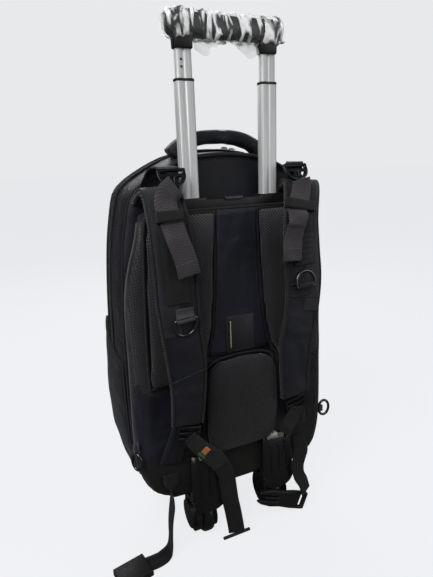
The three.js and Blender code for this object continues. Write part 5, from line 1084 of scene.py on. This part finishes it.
panel_rings = []
for shrink in (0.05, 0.25, 0.5, 0.7, 0.85, 0.94, 0.985):
    panel_rings.append([Vector((x * shrink, PANEL_FACE + 0.2, 290 + (z - 290) * shrink))
                        for x, _, z in panel_ring(PANEL_FACE, -3, PANEL_LOW + 9)])
for share in np.linspace(0, 1, 9):
    grow = table_value([(d, g) for d, g, _ in PANEL_WALL], share)
    rise = table_value([(d, r) for d, _, r in PANEL_WALL], share)
    panel_rings.append(rumpled(panel_ring(PANEL_FACE + share * 29.5, grow, PANEL_LOW + rise), 0.9, 0.03, 8))
panel = loft("back_panel_cloth", panel_rings, nylon, replaces=["back_panel"])
panel.data.materials.append(back_mesh)
panel.data.materials.append(kick_cloth)
for face in panel.data.polygons:
    ring, i = divmod(face.index, 140)
    if ring < len(panel_rings) - 1:
        middle = panel_rings[ring][i]
        if abs(middle[0]) > 100 and 276 < middle[2] < 491 and 6 <= ring < 12:
            face.material_index = 1
        elif middle[2] < 168:
            face.material_index = 2
for side, word in SIDES:
    base_line = [p for p in panel_ring(36.5, 14.5, PANEL_LOW, 280) if p[0] * side > 100 and 120 < p[2] < 496]
    base_line.sort(key=lambda p: p[2])
    # This piping's pale finish is a painted highlight.
    rope(f"panel_piping_{word}", base_line[::4], 1.35, piping_painted_highlight, sides=8, steps=90)
top_tape = [(x, PANEL_FACE - 1.6, 500.4 - abs(x) * 0.004, 0, 0, 1, 11) for x in np.linspace(-114, 114, 9)]
band("panel_top_tape", [(x, y, z - 6, *rest) for x, y, z, *rest in top_tape], 1.0, binding_tape, slot="nylon")
rope("panel_top_roll", [(x, PANEL_FACE - 1.2, 500) for x in np.linspace(-115, 115, 9)], 1.7, binding_tape, sides=10)
for name, z in (("tape_seam_high", 497), ("tape_seam_low", 491)):
    stitches(name, [(x, PANEL_FACE - 2.4, z) for x in np.linspace(-113, 113, 9)], slot="nylon")
print("panel faces:", len(panel.data.polygons))

# %% [markdown]
# The pads of the back are the softest part. They are puffed from the frame's solids, and then a bound edge
# is laid round each. The smooth channel between them is a separate flat panel with a seam down each side.

# %% Mesh pads and their edges
PAD_EDGES = ((1, 0.227, 0.87), (0.88, 0.228, 0.905), (0.55, 0.25, 0.935), (0.3, 0.29, 0.95),
             (0.13, 0.36, 0.955), (0.06, 0.44, 0.955), (0, 0.46, 0.95))
PAD_LOW, PAD_TALL = 268, 230
for side, word in SIDES:
    puffed(f"mesh_pad_{word}", back_mesh, cap=2.6)
    inner = [(side * a * PANEL_HALF, PANEL_FACE - 2.2, PAD_LOW + h * PAD_TALL) for h, a, _ in PAD_EDGES]
    outer = [(side * b * PANEL_HALF, PANEL_FACE - 2.2, PAD_LOW + h * PAD_TALL) for h, _, b in PAD_EDGES]
    rope(f"pad_edge_inner_{word}", inner, 1.5, binding_tape, sides=8, steps=50)
    rope(f"pad_edge_outer_{word}", outer, 1.6, binding_tape, sides=8, steps=50)
    rope(f"pad_edge_low_{word}", [inner[-1], outer[-1]], 1.4, binding_tape, sides=8)

# %% [markdown]
# The channel is nearly flat, a little proud in its middle, and as wide at each height as the pads leave free.
# So its width is read from the same table as the pads' inner edges.

# %% Channel panel
channel_rows = []
for h in np.linspace(0.13, 1, 30):
    half = table_value([(e[0], e[1]) for e in reversed(PAD_EDGES)], h) * PANEL_HALF - 2.4
    z = PAD_LOW + h * PAD_TALL
    channel_rows.append([Vector((u * half, PANEL_FACE - 4.6 - 1.2 * (1 - u ** 4)
                                 - rumple((u * 40, 2, z), 0.8, 0.03, 2), z)) for u in np.linspace(-1, 1, 17)])
back_rows = [[Vector((p.x, PANEL_FACE - 0.4, p.z)) for p in reversed(row)] for row in channel_rows]
loft("channel_cloth", [a + b for a, b in zip(channel_rows, back_rows)], channel_nylon, replaces=["channel_panel"])
for side in (-1, 1):
    stitches(f"channel_seam_{'left' if side < 0 else 'right'}",
             [row[8 + 7 * side] + Vector((0, -0.2, 0)) for row in channel_rows[1:-1]], slot="nylon")
print("channel rows:", len(channel_rows))

# %% [markdown]
# The lumbar pad is the same kind of cushion in a finer mesh, with a thick bound edge that runs all round.

# %% Lumbar pad
puffed("lumbar_pad", lumbar_mesh, cap=3.0)
LUMBAR = ((0, 0.72), (0.05, 0.9), (0.18, 1), (0.5, 1), (0.82, 0.97), (0.92, 0.88), (0.98, 0.6), (1, 0.2))
edge = [(w * 58.4, PANEL_FACE - 2.4, 148.6 + h * 145) for h, w in LUMBAR]
rope("lumbar_edge", edge + [(-x, y, z) for x, y, z in reversed(edge)], 1.7, binding_tape, sides=8, steps=110)

# %% [markdown]
# A small patch sits low on the channel. It is left bare: only a stitched border and one plain stripe.

# %% Patch
PATCH_X, PATCH_Z, PATCH_HALF_X, PATCH_HALF_Z = 0, 326, 22, 26.5
patch_rings = [[Vector((a * (PATCH_HALF_X - e), y, PATCH_Z + b * (PATCH_HALF_Z - e))) for a, b in
                ((-1, -0.94), (-0.94, -1), (0.94, -1), (1, -0.94), (1, 0.94), (0.94, 1), (-0.94, 1), (-1, 0.94))]
               for y, e in ((3.0, 0), (1.4, 0), (1.0, 0.5))]
loft("bare_patch", patch_rings, patch_finish, slot="label", replaces=["label_patch"])
corners = [(-19.6, 0.9, 302), (-19.6, 0.9, 350), (19.6, 0.9, 350), (19.6, 0.9, 302), (-19.6, 0.9, 302)]
for k in range(4):
    stitches(f"patch_seam_{k}", [corners[k], corners[k + 1]], radius=0.28, slot="label")
band("patch_stripe", [(-15, 0.75, z, 1, 0, 0, 1.1) for z in (306, 318, 334, 346)], 0.5, stripe_finish, steps=12,
     slot="label")
print("patch:", 2 * PATCH_HALF_X, "x", 2 * PATCH_HALF_Z, "mm")

# %% [markdown]
# The handle's tubes are drawn profiles with a shallow groove in each broad face. The same section makes
# the two sliding stages; a black collar ends the wider one. Each stage rides with its own body, so that
# the tubes slide into each other when the handle goes down.

# %% Tubes
TUBE = ((-1, -0.35), (-0.93, -0.74), (-0.7, -1), (-0.36, -1), (-0.22, -0.86), (0, -0.86), (0.12, -1), (0.7, -1),
        (0.93, -0.74), (1, -0.35), (1, 0.35), (0.93, 0.74), (0.7, 1), (0.12, 1), (0, 0.86), (-0.22, 0.86),
        (-0.36, 1), (-0.7, 1), (-0.93, 0.74), (-1, 0.35))
TUBE_X, TUBE_Y = 57.6, 22
STAGE_SECTION = {"outer": (27.4, 17.4), "middle": (24, 14), "inner": (20.6, 10.6)}


def tube_ring(side, wide, deep, z):
    return [Vector((side * TUBE_X + a * wide / 2, TUBE_Y + b * deep / 2, z)) for a, b, _ in TUBE_FINE]


TUBE_FINE = smooth_rows([(a, b, 0) for a, b in TUBE], 80, joined=True)


def tube(name, side, stage, low, high, body, replaces, finish=aluminium, proud=0.0):
    wide, deep = (s + proud for s in STAGE_SECTION[stage])
    rings = [tube_ring(side, wide - 1, deep - 1, low), tube_ring(side, wide, deep, low + 0.5),
             tube_ring(side, wide, deep, high - 0.5), tube_ring(side, wide - 1, deep - 1, high),
             tube_ring(side, wide - 2.4 - proud, deep - 2.4 - proud, high - 0.2),
             tube_ring(side, wide - 2.4 - proud, deep - 2.4 - proud, low + 0.2)]
    piece = loft(name, rings, finish, joined=True, body=body, replaces=replaces,
                 slot="aluminium" if finish is aluminium else "plastic")
    piece.data.set_sharp_from_angle(angle=math.radians(50))
    return piece


for side, word in SIDES:
    tube(f"fixed_tube_{word}", side, "outer", 88.6, 512, "bag", [f"outer_tube_{word}"])
    tube(f"middle_stage_tube_{word}", side, "middle", 325.4, 652.3, "middle_stage", [f"middle_tube_{word}"])
    tube(f"middle_stage_collar_{word}", side, "middle", 652.4, 655.3, "middle_stage", [], moulded, 0.8)
    tube(f"inner_stage_tube_{word}", side, "inner", 368, 688, "grip_stage", [f"inner_tube_{word}"])
    for k, z in enumerate((668, 676)):
        spot = [[Vector((side * TUBE_X - 4 + math.cos(a) * r, TUBE_Y - 5.4 + y, z + math.sin(a) * r))
                 for a in round_angles(12)] for r, y in ((1.5, 0.3), (1.5, -0.1), (1.1, -0.2))]
        if side < 0:
            loft(f"spring_pin_{word}_{k}", spot, moulded, body="grip_stage", slot="plastic")
print("tubes made")

# %% [markdown]
# The tubes come out of a moulded bar, which keeps the frame's shape, with a small latch on its middle.

# %% Socket bar
hard_copy("socket_bar", moulded, edge=1.2, segments=3)
band("socket_bar_latch", [(x, 9.2, 512.6, 0, 0.25, 1, 5) for x in (-13, -4, 4, 13)], 2.2, guard_plastic, steps=14,
     slot="plastic")

# %% [markdown]
# The grip is a soft bar with a waist in the middle and a stem over each tube. It is still in its clear film,
# so the film is a second, looser skin that creases round the bar and bunches at its ends.

# %% Grip
GRIP = ((-1, 0.5), (-0.985, 0.7), (-0.95, 0.86), (-0.86, 1), (-0.4, 0.965), (0, 0.95), (0.4, 0.965), (0.86, 1),
        (0.95, 0.86), (0.985, 0.7), (1, 0.5))
GRIP_Z = 714.3


def grip_ring(length, size, extra=0.0, count=36):
    ring = []
    for k in range(count):
        a = 2 * math.pi * k / count
        ca, sa = math.cos(a), math.sin(a)
        ring.append(Vector((length * 77, TUBE_Y + math.copysign(abs(ca) ** 0.8, ca) * (size * 11 + extra),
                            GRIP_Z + math.copysign(abs(sa) ** 0.8, sa) * (size * 14.4 + extra))))
    return ring


grip_rings = [grip_ring(s, table_value(GRIP, s)) for s in np.sin(np.linspace(-math.pi / 2, math.pi / 2, 40))]
loft("grip_bar", grip_rings, grip_rubber, body="grip_stage", slot="plastic", replaces=["grip"])
for side, word in SIDES:
    stem = []
    for z, sx, sy in ((688.4, 11.4, 7.6), (689.2, 12, 8.2), (697, 12.2, 8.6), (704, 13.4, 9.6), (714, 13, 9.6)):
        stem.append([Vector((side * TUBE_X + math.copysign(abs(math.cos(a)) ** 0.45, math.cos(a)) * sx,
                             TUBE_Y + math.copysign(abs(math.sin(a)) ** 0.45, math.sin(a)) * sy, z))
                     for a in round_angles(36)])
    loft(f"grip_stem_{word}", stem, moulded, body="grip_stage", slot="plastic")

# %% [markdown]
# Film is only visible where it creases. Ridges of noise, sharp on top and flat between, lift the skin off the
# grip by some three millimetres. The noise is stretched so that the ridges run aslant, as twisted film does.

# %% Film
def creased(p):
    """How far the loose film stands off the grip at a place, in millimetres: sharp creases that run aslant."""
    q = Vector((p.x * 0.075 + p.z * 0.05, p.y * 0.05, p.z * 0.03 - p.x * 0.012))
    return (1 - abs(noise.noise(q))) ** 4 * 2.3 + (1 - abs(noise.noise(q * 2.7))) ** 4 * 1.1


film_rings = []
for s in np.linspace(-1.05, 1.05, 150):
    size = table_value(GRIP, min(max(s, -1), 1))
    ring = []
    for p in grip_ring(s, size, 1.2 + 1.6 * abs(s) ** 6, 72):
        out = Vector((0, p.y - TUBE_Y, p.z - GRIP_Z)).normalized()
        ring.append(p + out * creased(p))
    film_rings.append(ring)
loft("grip_film_skin", film_rings, film, body="grip_stage", slot="film", replaces=["grip_film"], caps=False)
print("film rings:", len(film_rings))

# %% [markdown]
# The film's loose edge hangs below the bar in two lobes beside the middle. It is an open sheet that curves in
# depth, and its finish is hazier than that of the skin round the bar.

# %% The film's skirt, which sags under the grip between the stems
skirt = []
for x in np.linspace(-44, 44, 60):
    drop = 3 + 18 * min(1, abs(x) / 27) ** 1.4 * (1 - 0.35 * (abs(x) > 34) * (abs(x) - 34) / 10)
    skirt.append([Vector((x, TUBE_Y + 6 * math.cos(v * 1.2) - 8 + 2 * noise.noise(Vector((x, v * 9, 3)) * 0.12),
                          GRIP_Z - 12.4 - v * drop)) for v in np.linspace(0, 1, 9)])
grid("film_skirt", skirt, haze, body="grip_stage", slot="film")
print("grip and film made")

# %% [markdown]
# The wheels turn on a pin inside their guards. A tyre is a turned ring with a rounded tread and one fine groove,
# on a plain dished hub. The guard keeps the frame's form with softened edges and three ribs down its back.

# %% Wheels
WHEEL_X, AXLE_Y, AXLE_Z = 59, 31, 32
WHEEL = ((-9, 20), (-9, 26.5), (-8.4, 29), (-6.8, 30.9), (-4.4, 31.8), (-0.7, 32), (-0.4, 31.6), (0.4, 31.6),
         (0.7, 32), (4.4, 31.8), (6.8, 30.9), (8.4, 29), (9, 26.5), (9, 20))
HUB = ((-8.6, 4.6), (-8.8, 8.2), (-6, 9), (-5.6, 18.5), (-8.6, 19.6), (8.6, 19.6), (5.6, 18.5), (6, 9), (8.8, 8.2),
       (8.6, 4.6))


def turned(name, x, profile, finish, **where):
    rings = [[Vector((x + a, AXLE_Y + r * math.cos(u), AXLE_Z + r * math.sin(u))) for a, r in profile]
             for u in round_angles(72)]
    piece = loft(name, rings, finish, joined=True, **where)
    piece.data.set_sharp_from_angle(angle=math.radians(40))
    return piece


for side, word in SIDES:
    body = f"wheel_{word}_body"
    turned(f"tyre_{word}", side * WHEEL_X, WHEEL, tyre_rubber, body=body, slot="rubber", replaces=[f"wheel_{word}"])
    turned(f"hub_{word}", side * WHEEL_X, HUB, moulded, body=body, slot="plastic")
    hard_copy(f"wheel_guard_{word}", guard_plastic, edge=2.6, segments=4)
    for k, x in enumerate((-14, 0, 14)):
        ridge = [(side * WHEEL_X + x * lean, y, z)
                 for lean, y, z in ((1, -5.6, 82), (1, -6, 100), (1, -5.6, 118), (0.95, -3.4, 134))]
        rope(f"guard_rib_{word}_{k}", ridge, 0.6, guard_plastic, sides=10, slot="plastic")
hard_copy("base_plate", guard_plastic, edge=1.0)
for word in ("left", "right"):
    hard_copy(f"front_foot_{word}", moulded, edge=0.8)
print("wheels and guards made")

# %% [markdown]
# The shoulder straps arch over the top of the harness panel and hang down in front of it. Their section is
# a flat pad with a rounded edge, bound all round. Smooth nylon shows on the outer part, and webbing runs down
# the rest. Their sides are spacer mesh, so those strips of faces get the mesh finish.

# %% Shoulder straps
SECTION_POINTS, STRAP_STEPS = 28, 110
PAD_SECTION = [(math.copysign(abs(math.cos(a)) ** 0.55, math.cos(a)),
                math.copysign(abs(math.sin(a)) ** 0.8, math.sin(a))) for a in round_angles(SECTION_POINTS)]


def strap_places(word, steps=STRAP_STEPS):
    return stations(BANDS[f"shoulder_strap_{word}"][1], steps)


def strap_line(word, across, out, share=(0, 1), steps=STRAP_STEPS):
    """A line along the strap: across in shares of its half width, out in millimetres from its middle."""
    places = strap_places(word, steps)
    chosen = places[int(share[0] * (steps - 1)):int(share[1] * (steps - 1)) + 1]
    return [p + w * (across * size / 2) + o * out for p, w, o, size in chosen]


for word, seed in (("left", 1), ("right", 2)):
    rings = []
    for place, wide, out, size in strap_places(word):
        ring = []
        for a, b in PAD_SECTION:
            p = place + wide * (a * size / 2) + out * (b * 4.9 * (1 - 0.12 * a ** 4))
            ring.append(p + out * rumple(p, 0.9, 0.05, seed) * (1 - abs(a) ** 3))
        rings.append(ring)
    strap = loft(f"shoulder_strap_cloth_{word}", rings, nylon, replaces=[f"shoulder_strap_{word}"])
    strap.data.materials.append(back_mesh)
    side_faces = {i for i in range(SECTION_POINTS)
                  if abs(PAD_SECTION[i][0] + PAD_SECTION[(i + 1) % SECTION_POINTS][0]) > 1.75}
    for face in strap.data.polygons:
        if face.index % SECTION_POINTS in side_faces and face.index < SECTION_POINTS * (STRAP_STEPS - 1):
            face.material_index = 1
    for edge, letter in ((-1, "a"), (1, "b")):
        rope(f"strap_edge_{word}_{letter}", strap_line(word, edge * 0.93, 4.2, (0.06, 1)), 1.3, binding_tape,
             sides=8, steps=130)
        stitches(f"strap_seam_{word}_{letter}", strap_line(word, edge * 0.86, 4.6, (0.12, 0.99)), slot="nylon")
print("shoulder straps made, mesh on", len(side_faces), "of", SECTION_POINTS, "strips of each")

# %% [markdown]
# Webbing is a thin woven band, so each stretch is one band along the rows of the CAD part. Where a band is
# doubled, a second layer lies on it with a row of stitches.

# %% Smooth facings on the outer part of each strap
for word, outer in (("left", -1), ("right", 1)):
    rows = BANDS[f"shoulder_strap_{word}"][1]
    band(f"strap_facing_{word}", rows, 0.9, facing_nylon, steps=150, lift=5.0, width=0.42, shift=outer * 12.5,
         part=(0.1, 0.62), slot="nylon")
    edge_line = [p + w * (outer * (12.5 - 0.21 * size)) + o * 5.6
                 for p, w, o, size in stations(rows, 150)[16:93:4]]
    stitches(f"facing_seam_{word}", edge_line, slot="nylon")


# %% [markdown]
# Each D-ring lies on its strap in a tuck of webbing. It is found by height on the strap, so it stays on the
# cloth when the strap's rows move.

# %% D-rings, each held by a loop of webbing
def strap_frame(word, z):
    """The strap's place, sideways and outward directions and width at a height on its hanging front."""
    return min((s for s in strap_places(word, 240) if s[0].y < -8), key=lambda s: abs(s[0].z - z))


RING_ARC = [(15, -3), (14.6, -10), (10.5, -17.5), (3.8, -21.2), (-3.8, -21.2), (-10.5, -17.5), (-14.6, -10),
            (-15, -3), (-13.5, 0.6), (-6, 1.2), (6, 1.2), (13.5, 0.6)]
for word, z, turn in (("left", 362, 1), ("right", 395, -1)):
    place, wide, out, size = strap_frame(word, z)
    down = Vector((0, 0, -1)) * turn
    bar = place - down * 7.5 + out * 8.2 + wide * (5 if word == "left" else 0)
    ring = [bar + wide * a + down * -b + out * (0.14 * b + 0.4) for a, b in RING_ARC]
    rope(f"strap_ring_wire_{word}", ring, 1.75, ring_metal, sides=12, joined=True, steps=96, slot="metal",
         replaces=[f"strap_ring_{word}"])
    loop = [(-14, -2.6), (-6, -2.0), (0.5, 2.7), (3.4, 0.4), (1.5, -2.2)]
    rows = [(*(bar + down * b + out * c), *(wide * turn), 24) for b, c in loop]
    band(f"ring_loop_{word}", rows, 1.3, webbing if word == "left" else smooth_webbing, steps=40)
    stitches(f"ring_loop_seam_{word}", [bar - down * 11 + out * -1.2 + wide * a for a in (-11, 0, 11)],
             slot="webbing")
    for k, across in enumerate((-1, 1)):
        seam = [place - down * 1.5 + out * 5.2 + wide * (across * t) + down * (0.12 * t - 4) for t in (13, 18, 24)]
        rope(f"ring_tuck_{word}_{k}", seam, 0.9, nylon, sides=8)

# %% [markdown]
# A seam across a padded strap pulls the foam in. A thin roll beside a row of stitches reads as that fold.

# %% Fold seams and a bartack on the straps
for name, word, z, lean in (("fold_left", "left", 290, 0.1), ("fold_right", "right", 371, -0.06)):
    place, wide, out, size = strap_frame(word, z)
    line = [place + wide * (a * size * 0.46) + out * 4.9 + Vector((0, 0, a * size * lean))
            for a in (-1, -0.5, 0, 0.5, 1)]
    rope(name, line, 1.1, nylon, sides=8, steps=30)
    stitches(name + "_seam", [p + Vector((0, -0.9, -2.6)) for p in line], slot="nylon")
place, wide, out, size = strap_frame("right", 305)
stitches("bartack", [place + wide * a + out * 5.3 for a in (-12, 0, 12)], pitch=1.3, dash=1.1, radius=0.5,
         slot="nylon")

# %% [markdown]
# The lifter tails are the liveliest bands: they twist and swing free below their keepers. Their ends are turned
# over and sewn down, which takes a second thin band and two rows of stitches.

# %% Webbing on the straps
for word in ("left", "right"):
    rows = BANDS[f"strap_webbing_{word}"]
    band(f"strap_webbing_weave_{word}", rows[1], rows[0], ladder_webbing if word == "right" else smooth_webbing,
         steps=90, replaces=[f"strap_webbing_{word}"])
    rows = BANDS[f"lifter_tail_{word}"]
    band(f"lifter_tail_weave_{word}", rows[1], rows[0], webbing, steps=90, replaces=[f"lifter_tail_{word}"])
    band(f"lifter_tail_hem_{word}", rows[1], 0.9, webbing, steps=90, lift=1.0, width=0.985, part=(0.86, 0.995))
    places = stations(rows[1], 90)
    for k, share in enumerate((0.875, 0.985)):
        place, wide, out, size = places[int(share * 89)]
        stitches(f"tail_hem_seam_{word}_{k}", [place + out * 1.6 + wide * (a * size * 0.44) for a in (-1, 0, 1)],
                 slot="webbing")
    rows = BANDS[f"strap_keeper_{word}"]
    band(f"strap_keeper_weave_{word}", rows[1], rows[0], smooth_webbing, steps=60, replaces=[f"strap_keeper_{word}"])
    hard_copy(f"lifter_buckle_{word}", gloss_moulded, edge=0.9, segments=3)
    hard_copy(f"lifter_wing_{word}", nylon, edge=0.9, segments=2)
    side = -1 if word == "left" else 1
    middle, reach = ((-157, 20), (-4.8, 8)) if side < 0 else ((161.5, 20), (8.8, -1.5))
    oval = [Vector((middle[0] + reach[0] * math.cos(a), middle[1] + reach[1] * math.cos(a), 157 + 13 * math.sin(a)))
            for a in round_angles(14)]
    rope(f"side_ring_wire_{word}", oval, 2.1, ring_metal, sides=12, joined=True, steps=80, slot="metal",
         replaces=[f"side_ring_{word}"])
    rows = BANDS[f"side_ring_tab_{word}"]
    band(f"side_ring_tab_weave_{word}", rows[1], rows[0], webbing, steps=50, replaces=[f"side_ring_tab_{word}"])
    hard_copy(f"adjuster_lock_{word}", gloss_moulded, edge=0.7, segments=3)
    hard_copy(f"zip_pull_{word}", zip_metal, edge=0.5)
    ring_x, ring_z = (26, 577.2) if word == "left" else (38, 575.2)
    rope(f"zip_pull_loop_{word}", [(ring_x + 4.2 * math.cos(a), 91 + 2.4 * math.sin(a), ring_z + 1.3 * math.sin(a))
                                   for a in round_angles(10)],
         1.1, zip_metal, sides=8, joined=True, steps=30, slot="metal")

# %% [markdown]
# The straps end in locks. Below each, a wing of cloth is sewn to the bag, and webbing hangs from the lock. The
# left one carries a plain sleeve with a small orange block and a green edge.

# %% Anchor wings and the webbing that hangs from the locks
for word in ("left", "right"):
    rows = BANDS[f"anchor_wing_{word}"]
    band(f"anchor_wing_cloth_{word}", rows[1], rows[0], nylon, steps=50, slot="nylon",
         replaces=[f"anchor_wing_{word}"])
    places = stations(rows[1], 50)
    for k, edge in enumerate((-0.9, 0.9)):
        stitches(f"wing_seam_{word}_{k}", [p + out * 1.7 + wide * (edge * size / 2) for p, wide, out, size in places],
                 slot="nylon")
    rows = BANDS[f"adjuster_webbing_{word}"]
    band(f"adjuster_webbing_weave_{word}", rows[1], rows[0], hanging_webbing, steps=120,
         replaces=[f"adjuster_webbing_{word}"])
rows = BANDS["adjuster_webbing_left"][1]
band("label_sleeve", rows, 2.6, smooth_webbing, steps=200, width=1.04, part=(0.03, 0.36))
band("orange_block", rows, 0.5, orange_finish, steps=200, lift=1.6, width=0.5, shift=1, part=(0.145, 0.185))
band("green_corner", rows, 0.5, green_finish, steps=200, lift=1.6, width=0.14, shift=-7.6, part=(0.135, 0.2))
hard_copy("webbing_end_bar", moulded, edge=0.8, segments=3)
hard_copy("spare_buckle", gloss_moulded, edge=0.8, segments=3)

# %% [markdown]
# The waist belt's two short ends come out of the bag's lower corners. The left one lies on the ground with the
# buckle's socket, and the right one hangs with the plug. They are bands again, with the frame's buckle parts.

# %% Waist belt
for word in ("left", "right"):
    rows = BANDS[f"waist_belt_{word}"]
    band(f"waist_belt_weave_{word}", rows[1], rows[0], hanging_webbing, steps=140, replaces=[f"waist_belt_{word}"])
hard_copy("buckle_socket", moulded, edge=1.2, segments=3)
hard_copy("buckle_plug", moulded, edge=1.0, segments=3)
print("belt ends made")

# %% [markdown]
# The grab handle is a padded roll of cloth whose ends are sewn flat into the top seam.

# %% Grab handle
handle_rings = []
for place, wide, out, size in stations(BANDS["grab_handle"][1], 70):
    ring = []
    for a, b in PAD_SECTION:
        p = place + wide * (a * size / 2) + out * (b * 7 if b > 0 else b * 11)
        ring.append(p + out * rumple(p, 1.2, 0.06, 7) + wide * rumple(p, 0.8, 0.07, 3))
    handle_rings.append(ring)
grab = loft("grab_handle_roll", handle_rings, nylon, replaces=["grab_handle"])
for k, edge in enumerate((-1, 1)):
    stitches(f"grab_seam_{k}", [p + out * 6.9 + wide * (edge * 7.5) for p, wide, out, size in
                                stations(BANDS["grab_handle"][1], 30)], slot="nylon")

# %% [markdown]
# Two pale tabs show at the foot of the panel above the wheel guards. They are small rounded slabs.

# %% Pale tabs at the feet of the panel
for x, word in ((-63, "left"), (49, "right")):
    tab = [[Vector((x + a * 9, y, 149 + b * 5)) for a, b in
            ((-1, -0.7), (-0.8, -1), (0.8, -1), (1, -0.7), (1, 0.7), (0.8, 1), (-0.8, 1), (-1, 0.7))]
           for y in (7.6, -2.2, -3)]
    loft(f"pale_tab_{word}", tab, pale_tab_finish, slot="webbing")
